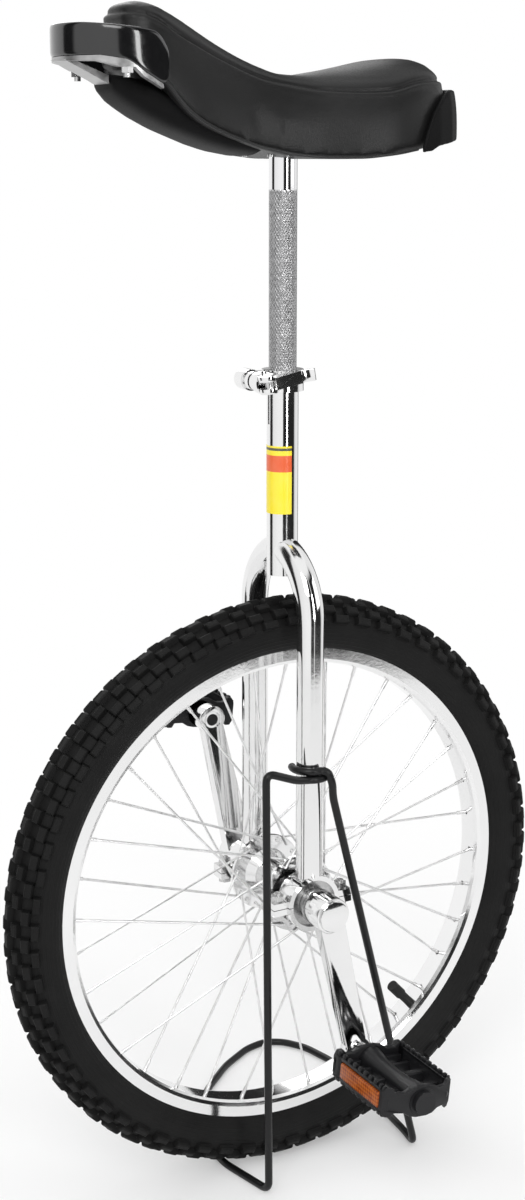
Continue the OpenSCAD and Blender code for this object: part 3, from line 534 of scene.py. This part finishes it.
stand = {"radius": 0.00325, "hook": 0.363, "legY": 0.046, "leg": 0.0111, "cut": 0.009, "gap": 0.0002,
    # degrees round the leg: the lower hook from its tip, the upper one to its tip
    "lowHook": (212, 60), "highHook": (95, -27),
    # the wire's corners between the two hooks, in mm
    "bends": ((20, 60.3, 362), (48.5, 60, 373), (46.5, 61.5, 3.25), (59, 6, 3.25), (57, -35, 3.25),
        (49, -66, 3.25), (34, -92, 3.25), (9, -119, 3.25), (-24, -148, 3.25), (-58, -168, 3.25),
        (-80, -172, 3.25), (-96, -163, 3.25), (-109, -143, 3.25), (-117, -108, 3.25), (-117, -60, 3.25),
        (-107, 35, 3.25), (-103, 57, 3.25), (-12.5, 62.5, 343), (-10.5, 64.8, 356), (-7, 63.2, 366))}


def makeStand():
    reach = stand["leg"] + stand["radius"] + stand["gap"]
    low = stand["hook"] - 0.003
    high = low + 2 * stand["radius"] + 0.0003

    def roundLeg(degrees, z):
        a = math.radians(degrees)
        return Vector((reach * math.cos(a), stand["legY"] + reach * math.sin(a), z))

    first = [roundLeg(a, low) for a in range(*stand["lowHook"], -6)]
    last = [roundLeg(a, high) for a in range(*stand["highHook"], -6)]
    ends = [first[-1]] + [Vector(p) / 1000 for p in stand["bends"]] + [last[0]]
    points = list(first)
    for before, at, after in zip(ends, ends[1:], ends[2:]):
        cut = min(stand["cut"], (before - at).length / 2.2, (after - at).length / 2.2)
        start = at + cut * (before - at).normalized()
        stop = at + cut * (after - at).normalized()
        for i in range(9):
            t = i / 8
            points.append((1 - t) ** 2 * start + 2 * t * (1 - t) * at + t ** 2 * stop)
    points += last
    return placePiece(tubeMesh("bentStand", points, stand["radius"], 5), "bentStand", "black_wire",
        bodyOf("wire_stand"), ("wire_stand",), 60)


makeStand()
print("stand ready")


saddle = {
    # x, top, lower edge, half width
    "line": ((-124, 907, 866, 34), (-122, 913, 864, 46), (-116, 919.5, 861.5, 57.5), (-106, 925, 859, 66.5),
        (-92, 926.5, 856, 72), (-78, 925, 854, 74), (-60, 920.5, 850.5, 73.5), (-35, 915, 847.5, 67),
        (-5, 911.5, 847.5, 56), (20, 914, 850, 49), (45, 923, 855.5, 44), (66, 933, 862.5, 42),
        (83, 942.5, 869.5, 41), (96, 950, 876.5, 41), (107, 955.5, 886, 40.5), (115, 959, 896, 40),
        (121, 961, 904, 39.5), (131, 962, 909, 37.5), (138, 960, 911, 32), (143.5, 954, 913, 22)),
    # x, height of the seam between the top pad and the side panel
    "seam": ((-124, 907), (-100, 907), (-81, 904.6), (-65, 899.6), (-56, 898.1), (-37, 897.5), (-19, 897.9),
        (-0.7, 899.6), (17.5, 902.7), (33, 905), (48, 910), (60, 915), (75, 921.3), (90, 928.4), (105, 935.5),
        (119, 945), (129.6, 950), (144, 951)),
    "inset": 2.2, "voxel": 0.0045, "pressure": 4, "mostPuff": 0.0028, "puffFrames": 20, "heldHigh": 3,
    "grooveDeep": 1.9, "grooveWide": 1.2, "noseGroove": 0.45, "rollOut": 0.8}


def saddleRing(x, dome=40, floor=16):
    # a domed top from one lower edge to the other, and a flat underside
    top, low, half = (smoothAlong(saddle["line"], x, c) for c in (1, 2, 3))
    half -= saddle["inset"]
    high = top - saddle["inset"] - low
    ring = []
    for i in range(dome + 1):
        a = math.pi * i / dome
        across = half * math.copysign(abs(math.cos(a)) ** 0.62, math.cos(a))
        ring.append(Vector((x, across, low + high * math.sin(a) ** 0.72)) / 1000)
    for i in range(1, floor):
        ring.append(Vector((x, half * (2 * i / floor - 1), low)) / 1000)
    return ring


def puffed(source, hold):
    # cloth under a little pressure, its low edge held, each point moved no further than the cap
    group = source.vertex_groups.new(name="held")
    before = [vert.co.copy() for vert in source.data.vertices]
    group.add([i for i, co in enumerate(before) if hold(co)], 1.0, "REPLACE")
    cloth = source.modifiers.new("puff", "CLOTH")
    cloth.settings.quality = 5
    cloth.settings.mass = 0.3
    cloth.settings.tension_stiffness = 18
    cloth.settings.compression_stiffness = 18
    cloth.settings.bending_stiffness = 3
    cloth.settings.use_pressure = True
    cloth.settings.uniform_pressure_force = saddle["pressure"]
    cloth.settings.effector_weights.gravity = 0
    cloth.settings.vertex_group_mass = "held"
    for frameNumber in range(1, saddle["puffFrames"] + 1):
        scene.frame_set(frameNumber)
    depth = bpy.context.evaluated_depsgraph_get()
    after = source.evaluated_get(depth).data
    moved = [vert.co.copy() for vert in after.vertices]
    source.modifiers.remove(cloth)
    scene.frame_set(1)
    for vert, old, new in zip(source.data.vertices, before, moved):
        shift = new - old
        if shift.length > saddle["mostPuff"]:
            shift *= saddle["mostPuff"] / shift.length
        vert.co = old + shift


def nearEdge(co):
    # within a few mm of the cover's lower edge
    return co.z * 1000 < smoothAlong(saddle["line"], co.x * 1000, 2) + saddle["heldHigh"]


def seamMove(vert):
    # the groove along the seam, with a soft roll on either side, on the sides and round the nose only
    x, y, z = vert.co * 1000
    half = smoothAlong(saddle["line"], x, 3)
    side = min(1, max(0, (max(abs(y) / half, (x - 121) / 20) - 0.55) / 0.25))
    away = z - smoothAlong(saddle["seam"], x)
    deep = saddle["grooveDeep"] * (saddle["noseGroove"] if x > 128 else 1)
    cut = -deep * math.exp(-(away / saddle["grooveWide"]) ** 2)
    below, above = math.exp(-((away + 3.2) / 2) ** 2), math.exp(-((away - 4.5) / 3) ** 2)
    return vert.normal * side * (cut + saddle["rollOut"] * (below + 0.8 * above)) / 1000


def makeCushion():
    bm = bmesh.new()
    stations = [-123.5, -122, -119.5] + list(range(-116, 136, 6)) + [136, 139, 141.5, 143]
    loftRings(bm, [saddleRing(x) for x in stations])
    pad = bpy.data.objects.new("cushionPuff", remeshed(bm, "cushionStart", saddle["voxel"]))
    scene.collection.objects.link(pad)
    puffed(pad, nearEdge)
    split = pad.modifiers.new("split", "SUBSURF")
    split.levels = split.render_levels = 2
    depth = bpy.context.evaluated_depsgraph_get()
    fine = bpy.data.meshes.new_from_object(pad.evaluated_get(depth))
    bpy.data.objects.remove(pad)
    bm = bmesh.new()
    bm.from_mesh(fine)
    bm.normal_update()
    for vert, move in zip(bm.verts, [seamMove(vert) for vert in bm.verts]):
        vert.co += move
    piece = finishPiece(bm, "saddleCushion", "black_vinyl", "saddle", ("saddle_cover", "saddle_foam"), 80)


welt = {"radius": 0.0011, "back": -76, "front": 134, "inside": 0.4, "above": 1.2,
    "noseOut": 3.4, "noseHalf": 33, "noseHeight": 911.5}


def makePiping():
    # a thin welt near the lower edge of the cover, on both sides and round the nose
    side = [Vector((x, smoothAlong(saddle["line"], x, 3) - welt["inside"],
        smoothAlong(saddle["line"], x, 2) + welt["above"])) / 1000
        for x in range(welt["back"], welt["front"], 3)]
    nose = [Vector((welt["front"] + welt["noseOut"] * math.sin(a), welt["noseHalf"] * math.cos(a),
        welt["noseHeight"])) / 1000 for a in (math.radians(d) for d in range(20, 161, 10))]
    mirror = [Vector((p.x, -p.y, p.z)) for p in reversed(side)]
    return placePiece(tubeMesh("saddleWelt", side + nose + mirror, welt["radius"], 3), "saddleWelt",
        "vinyl_piping", "saddle", ("saddle_piping",), 60)


base = {
    # x, top, lowest line, half width
    "line": ((-112, 866, 861, 34), (-100, 868, 860, 52), (-80, 868, 860, 62), (-60, 868, 860, 64),
        (-35, 868, 860, 58), (-5, 868, 860, 46), (33, 868, 860, 40), (38, 872, 849.5, 37), (60, 877, 853, 34),
        (76, 881, 857.5, 32), (93, 887, 863.5, 30), (108, 894, 869, 29), (125, 901, 877, 27),
        (136, 905, 883.5, 25), (146, 907, 890, 22), (151.5, 907, 897, 16)),
    # how square the upper and the lower half of its section are: 1 is an ellipse, 0 a box
    "squareAbove": 0.34, "squareBelow": 0.62}


def makeBase():
    # a shallow pan, deeper under the nose, its lower edges well rounded
    rings = []
    for x in [-111.5, -108, -104] + list(range(-98, 34, 8)) + [35, 37] + list(range(40, 148, 6)) + [149, 151]:
        top, low, half = (along(base["line"], x, c) for c in (1, 2, 3))
        ring = []
        for i in range(36):
            a = 2 * math.pi * i / 36
            power = base["squareAbove"] if math.sin(a) > 0 else base["squareBelow"]
            across = math.copysign(abs(math.cos(a)) ** power, math.cos(a)) * half
            up = math.copysign(abs(math.sin(a)) ** power, math.sin(a)) * (top - low) / 2
            ring.append(Vector((x, across, (top + low) / 2 + up)) / 1000)
        rings.append(ring)
    bm = bmesh.new()
    loftRings(bm, rings)
    return finishPiece(bm, "basePan", "black_base_plastic", "saddle", ("saddle_base",), 60)


makeCushion()
makePiping()
makeBase()
print("saddle cushion, piping and base ready")


handle = {"x": 138, "z": 919, "mid": 46, "thick": 8, "back": -16, "endRound": 7, "round": 0.36,
    "low": ((-16, -21.4), (-12, -19.5), (3, -11), (14, -3), (23, -1.5), (32, 0), (51, 0)),
    "high": ((-16, 9), (-12, 12), (-8, 17), (4, 19), (22, 21), (40, 23), (51, 23))}


def makeHandle():
    # a band swept round the nose, its height following the side view
    straight = (-16, -15.7, -14.9, -13.5, -11.5, -9, -6, -3)
    path = [(x, handle["mid"]) for x in straight]
    path += [(handle["mid"] * math.cos(a), handle["mid"] * math.sin(a))
        for a in (math.radians(d) for d in range(90, -91, -5))]
    path += [(x, -handle["mid"]) for x in reversed(straight)]
    rings = []
    for x, y in path:
        out = Vector((max(x, 0), y, 0)).normalized()
        low, high = smoothAlong(handle["low"], x, 1, 3), smoothAlong(handle["high"], x, 1, 3)
        # the ends of both wings are rounded off
        near = min(1, (x - handle["back"] + 0.05) / handle["endRound"])
        middle, keep = (low + high) / 2, 1 - 0.5 * (1 - math.sqrt(1 - (1 - near) ** 2))
        low, high = middle + (low - middle) * keep, middle + (high - middle) * keep
        ring = []
        for i in range(28):
            a = 2 * math.pi * i / 28
            u = math.copysign(abs(math.cos(a)) ** handle["round"], math.cos(a)) * handle["thick"] / 2
            v = math.copysign(abs(math.sin(a)) ** handle["round"], math.sin(a))
            height = handle["z"] + (low + high) / 2 + v * (high - low) / 2
            ring.append((Vector((handle["x"] + x, y, height)) + out * u) / 1000)
        rings.append(ring)
    bm = bmesh.new()
    loftRings(bm, rings)
    return finishPiece(bm, "noseHandle", "gloss_black_handle", "saddle", ("front_handle",), 50)


makeHandle()
moulded("rear_bumper", "tailGuard", 0.0011, 6)
print("handle and tail guard ready")


edgeSofts = {"left_crank": ("leftCrankArm", 0.0022, 3), "right_crank": ("rightCrankArm", 0.0022, 3),
    "clamp_lever": ("quickLever", 0.001, 2), "crank_dust_caps": ("crankCaps", 0.0007, 2)}

for node, (name, width, segments) in edgeSofts.items():
    softened(node, name, width, segments)
print("cranks and lever ready")


pedal = {"inner": 93, "long": 84, "wide": 66, "high": 26, "tilt": 6, "rail": 5, "teeth": 10, "toothHigh": 3,
    "bore": 6.2, "plate": 6, "bow": 10, "bowLong": 17, "ribFrom": 9, "slit": 0.4,
    "reflector": (57, 13.6), "centre": (28.57, 128.87)}


def addBlock(bm, low, high, width=0.8, segments=2):
    # a bar between two corners, its edges broken
    made = bmesh.ops.create_cube(bm, size=1)["verts"]
    size = [b - a for a, b in zip(low, high)]
    bmesh.ops.scale(bm, vec=size, verts=made)
    bmesh.ops.translate(bm, vec=[(a + b) / 2 for a, b in zip(low, high)], verts=made)
    edges = list({edge for vert in made for edge in vert.link_edges})
    bmesh.ops.bevel(bm, geom=edges, offset=width, affect="EDGES", segments=segments, profile=0.5, material=-1)


def addPlate(bm, outline, y0, y1, width=0.9):
    # an outline in X and Z given a thickness along Y
    verts = [bm.verts.new((x, y0, z)) for x, z in outline]
    face = bm.faces.new(verts)
    up = bmesh.ops.extrude_face_region(bm, geom=[face])["geom"]
    top = [v for v in up if isinstance(v, bmesh.types.BMVert)]
    bmesh.ops.translate(bm, vec=(0, y1 - y0, 0), verts=top)
    edges = list({edge for vert in verts + top for edge in vert.link_edges})
    faces = list({f for vert in verts + top for f in vert.link_faces})
    bmesh.ops.recalc_face_normals(bm, faces=faces)
    bmesh.ops.bevel(bm, geom=edges, offset=width, affect="EDGES", segments=2, profile=0.5, material=-1)


def addBarrel(bm, inner, outer):
    # waisted in the middle, and open at both ends round the spindle
    barrel = ((inner, 11.4), (inner + 5, 12.4), (inner + 12, 11.2), (inner + 24, 9.2), (inner + 42, 8.4),
        (inner + 58, 9.2), (outer - 12, 11.4), (outer - 5, 12.6), (outer, 11.6))
    line = [bm.verts.new((r, y, 0)) for y, r in barrel]
    line = [bm.verts.new((pedal["bore"], inner, 0))] + line + [bm.verts.new((pedal["bore"], outer, 0))]
    edges = [bm.edges.new((line[i - 1], line[i])) for i in range(len(line))]
    bmesh.ops.spin(bm, geom=line + edges, cent=(0, 0, 0), axis=(0, 1, 0), angle=2 * math.pi, steps=40,
        use_merge=True)
    bmesh.ops.remove_doubles(bm, verts=bm.verts, dist=1e-4)
    bmesh.ops.recalc_face_normals(bm, faces=bm.faces)


def addEndPlates(bm, inner, outer):
    # full round the barrel, waisted beside it, and notched into claws at the outer corners
    half = pedal["wide"] / 2
    edge = [(-half, 2.5), (-half, 7.5), (-half + 2.5, 12.4), (-half + 7, 12.4), (-half + 9, 8.6), (-16, 8.6),
        (-11, 11.6), (-5, 12.8), (5, 12.8), (11, 11.6), (16, 8.6), (half - 9, 8.6), (half - 7, 12.4),
        (half - 2.5, 12.4), (half, 7.5), (half, 2.5)]
    outline = edge + [(-x, -z) for x, z in edge]
    addPlate(bm, outline, outer - pedal["plate"], outer)
    addPlate(bm, outline, inner, inner + pedal["plate"])


def addRail(bm, s, inner, outer):
    # the front or back edge: a backing, a frame round the reflector, and teeth above and below
    half = pedal["wide"] / 2
    body = pedal["high"] / 2 - pedal["toothHigh"]
    tip = pedal["high"] / 2 - 0.1
    x0, x1 = sorted((s * (half - pedal["rail"]), s * half))
    a0, a1 = sorted((s * (half - 2.6), s * (half - pedal["rail"])))
    middle = (inner + outer) / 2
    longWay, highWay = (length / 2 + pedal["slit"] for length in pedal["reflector"])
    addBlock(bm, (a0, inner + 4, -body), (a1, outer - 4, body))
    for z0, z1 in ((-body, -highWay), (highWay, body)):
        addBlock(bm, (x0, inner + 2, z0), (x1, outer - 2, z1), 0.7)
    for y0, y1 in ((inner + 1, middle - longWay), (middle + longWay, outer - 1)):
        addBlock(bm, (x0, y0, -body), (x1, y1, body), 0.7)
    pitch = (pedal["long"] - 6) / pedal["teeth"]
    for i in range(pedal["teeth"]):
        y = inner + 3 + (i + 0.5) * pitch
        for up in (1, -1):
            addPlate(bm, [(x0 + 0.4, up * (body - 1)), (x1 - 0.4, up * (body - 1)), (x1 - 1.3, up * tip),
                (x0 + 1.3, up * tip)], y - pitch * 0.29, y + pitch * 0.29, 0.45)


def addRibs(bm, inner, outer):
    # flat ribs from the barrel to the rails, and a thicker web beside each end plate
    far = pedal["wide"] / 2 - pedal["rail"] + 0.5
    for i in (1, 2, 3):
        y = inner + i * pedal["long"] / 4
        for s in (1, -1):
            a0, a1 = sorted((s * pedal["ribFrom"], s * far))
            addBlock(bm, (a0, y - 1.8, -6), (a1, y + 1.8, 2), 0.7)
    for s in (1, -1):
        for y0, y1 in ((inner + 5, inner + 10), (outer - 10, outer - 5)):
            a0, a1 = sorted((s * pedal["ribFrom"], s * far))
            addBlock(bm, (a0, y0, -3), (a1, y1, 3), 1)


def makePedal(name, side):
    half = pedal["wide"] / 2
    inner, outer = pedal["inner"], pedal["inner"] + pedal["long"]
    bm = bmesh.new()
    addBarrel(bm, inner, outer)
    addEndPlates(bm, inner, outer)
    for s in (1, -1):
        addRail(bm, s, inner, outer)
    addRibs(bm, inner, outer)
    # the outer corners are drawn in, so that the end is a bow in plan
    for vert in bm.verts:
        near = max(0, (vert.co.y - outer + pedal["bowLong"]) / pedal["bowLong"])
        vert.co.y -= pedal["bow"] * (min(1, abs(vert.co.x) / half)) ** 2.5 * near ** 1.5
    placePedal(bm, side)
    return finishPiece(bm, name, "pedal_plastic", side + "_pedal", (side + "_pedal_body",), 32)


def placePedal(bm, side):
    # from the spindle's own axes to its place on the crank, the right one mirrored
    tilt = Matrix.Rotation(math.radians(-pedal["tilt"]), 4, "Y")
    x, z = pedal["centre"]
    if side == "left":
        place = Matrix.Translation((-x, 0, axle.z * 1000 - z)) @ tilt
    else:
        place = Matrix.Translation((x, 0, axle.z * 1000 + z)) @ Matrix.Scale(-1, 4, (0, 1, 0)) @ tilt
    bmesh.ops.transform(bm, matrix=Matrix.Scale(0.001, 4) @ place, verts=bm.verts)
    if side == "right":
        bmesh.ops.reverse_faces(bm, faces=bm.faces)


def makeReflectors(name, side):
    bm = bmesh.new()
    middle = pedal["inner"] + pedal["long"] / 2
    refLong, refHigh = pedal["reflector"]
    for s in (1, -1):
        x0, x1 = sorted((s * (pedal["wide"] / 2 - 2.7), s * (pedal["wide"] / 2 + 1.4)))
        addBlock(bm, (x0, middle - refLong / 2 + 0.2, -refHigh / 2 + 0.2),
            (x1, middle + refLong / 2 - 0.2, refHigh / 2 - 0.2), 1.3, 3)
    placePedal(bm, side)
    return finishPiece(bm, name, "amber_reflector", side + "_pedal", (side + "_pedal_reflectors",), 32)


spindleEnd = {"out": 70.1, "radius": 5.2, "deep": 1.0, "edge": 0.0002}


def makeSpindleEnds():
    # the dark end of each pedal spindle, in the crank's eye on the wheel's side
    bm = bmesh.new()
    x, z = pedal["centre"]
    centre = axle.z * 1000
    for spot in ((-x, spindleEnd["out"], centre - z), (x, -spindleEnd["out"], centre + z)):
        made = bmesh.ops.create_cone(bm, cap_ends=True, segments=32, radius1=spindleEnd["radius"],
            radius2=spindleEnd["radius"], depth=spindleEnd["deep"])["verts"]
        place = Matrix.Scale(0.001, 4) @ Matrix.Translation(spot) @ Matrix.Rotation(math.pi / 2, 4, "X")
        bmesh.ops.transform(bm, matrix=place, verts=made)
    bmesh.ops.recalc_face_normals(bm, faces=bm.faces)
    edges = [edge for edge in bm.edges if edge.calc_face_angle(0) > 1]
    bmesh.ops.bevel(bm, geom=edges, offset=spindleEnd["edge"], affect="EDGES", segments=2, profile=0.5,
        material=-1)
    return finishPiece(bm, "spindleEnds", "pedal_plastic", "wheel")


makeSpindleEnds()
for side in ("left", "right"):
    makePedal(side + "PedalCage", side)
    makeReflectors(side + "PedalReflectors", side)
print("pedals ready")


studio = {"wallWhite": 1.0, "domeGlow": 1.05, "domeTop": (0.86, 0.92),
    # floorGlow: the glow near the middle, painted light that lightens the floor's shadows
    "floorWhite": 0.9, "floorSize": 1.6, "floorGlow": 0.3, "floorFade": (0.32, 0.95),
    # brightness of the walls all round, in degrees: the low ones are tall dark cards
    "walls": ((-180, 0.9), (-150, 0.9), (-146, 0.02), (-122, 0.02), (-116, 0.95), (-42, 1.0), (-38, 0.02),
        (-18, 0.02), (-12, 0.9), (30, 1.0), (63, 1.0), (66, 0.02), (90, 0.02), (91, 0.8), (96, 0.8),
        (97, 0.02), (152, 0.02), (157, 0.6), (170, 0.9)),
    # name, place, aim, width and height, power
    "lamps": (("stripLight", (-0.15, 2.4, 1.0), (0.1, 0, 0.8), (0.34, 1.5), 16),
        ("keyLight", (1.6, 2.2, 2.6), (0, 0, 0.5), (1.6, 1.6), 38),
        ("fillLight", (-2.2, 1.8, 1.6), (0, 0, 0.5), (1.8, 1.8), 16),
        ("rimLight", (-0.6, -2.4, 2.2), (0, 0, 0.5), (1.4, 1.4), 14))}


def addFloor():
    # round; all of it glows a little, a painted light that lightens the shadows cast on it, and its far part
    # glows fully into the white behind it
    bm = bmesh.new()
    bmesh.ops.create_circle(bm, cap_ends=True, segments=96, radius=studio["floorSize"])
    mesh = bpy.data.meshes.new("studioFloor")
    bm.to_mesh(mesh)
    bm.free()
    floor = bpy.data.objects.new("studioFloor", mesh)
    scene.collection.objects.link(floor)
    mat, tree, shader = newFinish("paleFloor")
    spot = objectSpot(tree)
    white = studio["floorWhite"]
    cloud = noise(tree, spot, 3, 3)
    tree.links.new(ramp(tree, cloud, [(0.3, white * 0.99), (0.7, white)]), shader.inputs["Base Color"])
    shader.inputs["Roughness"].default_value = 0.7
    shader.inputs["Specular IOR Level"].default_value = 0.1
    far = addNode(tree, "ShaderNodeVectorMath", {0: spot}, operation="LENGTH").outputs["Value"]
    # weakest glow near the middle, still painted light lifting the shadows there, full glow at the far edge
    near, edge = studio["floorFade"]
    fade = addNode(tree, "ShaderNodeMapRange", {"Value": far, "From Min": near, "From Max": edge,
        "To Min": studio["floorGlow"], "To Max": 1}, interpolation_type="SMOOTHSTEP").outputs[0]
    glow = addNode(tree, "ShaderNodeEmission", {"Color": (1, 1, 1, 1), "Strength": 1})
    mixed = addNode(tree, "ShaderNodeMixShader", {0: fade, 1: shader.outputs[0], 2: glow.outputs[0]})
    tree.links.new(mixed.outputs[0], tree.nodes["Material Output"].inputs["Surface"])
    mesh.materials.append(mat)


def addWalls():
    world = bpy.data.worlds.new("studioWorld")
    scene.world = world
    world.use_nodes = True
    tree = world.node_tree
    tree.nodes.clear()
    spot = addNode(tree, "ShaderNodeTexCoord").outputs["Generated"]
    x, y, z = addNode(tree, "ShaderNodeSeparateXYZ", {"Vector": spot}).outputs
    around = calc(tree, "MULTIPLY_ADD", calc(tree, "ARCTAN2", y, x), 1 / (2 * math.pi), 0.5)
    cards = ramp(tree, around, [(degrees / 360 + 0.5, tone) for degrees, tone in studio["walls"]])
    full, none = studio["domeTop"]
    high = ramp(tree, calc(tree, "MULTIPLY_ADD", z, 0.5, 0.5), [(0.0, 1), (full, 1), (none, 0)])
    both = addNode(tree, "ShaderNodeMix", {0: high, 6: (1, 1, 1, 1), 7: cards}, data_type="RGBA").outputs[2]
    glow = addNode(tree, "ShaderNodeBackground", {"Color": both, "Strength": studio["domeGlow"]}).outputs[0]
    wall = addNode(tree, "ShaderNodeBackground",
        {"Color": (1, 1, 1, 1), "Strength": studio["wallWhite"]}).outputs[0]
    seen = addNode(tree, "ShaderNodeLightPath").outputs["Is Camera Ray"]
    mixed = addNode(tree, "ShaderNodeMixShader", {0: seen, 1: glow, 2: wall}).outputs[0]
    addNode(tree, "ShaderNodeOutputWorld", {"Surface": mixed})


def addLamp(name, place, aim, size, power):
    data = bpy.data.lights.new(name, "AREA")
    data.shape = "RECTANGLE"
    data.size, data.size_y = size
    data.energy = power
    lamp = bpy.data.objects.new(name, data)
    lamp.location = place
    lamp.rotation_euler = (Vector(aim) - Vector(place)).to_track_quat("-Z", "Y").to_euler()
    scene.collection.objects.link(lamp)


addCamera()
addFloor()
addWalls()
for lamp in studio["lamps"]:
    addLamp(*lamp)
scene.view_settings.view_transform = "Standard"
print("camera and studio ready")
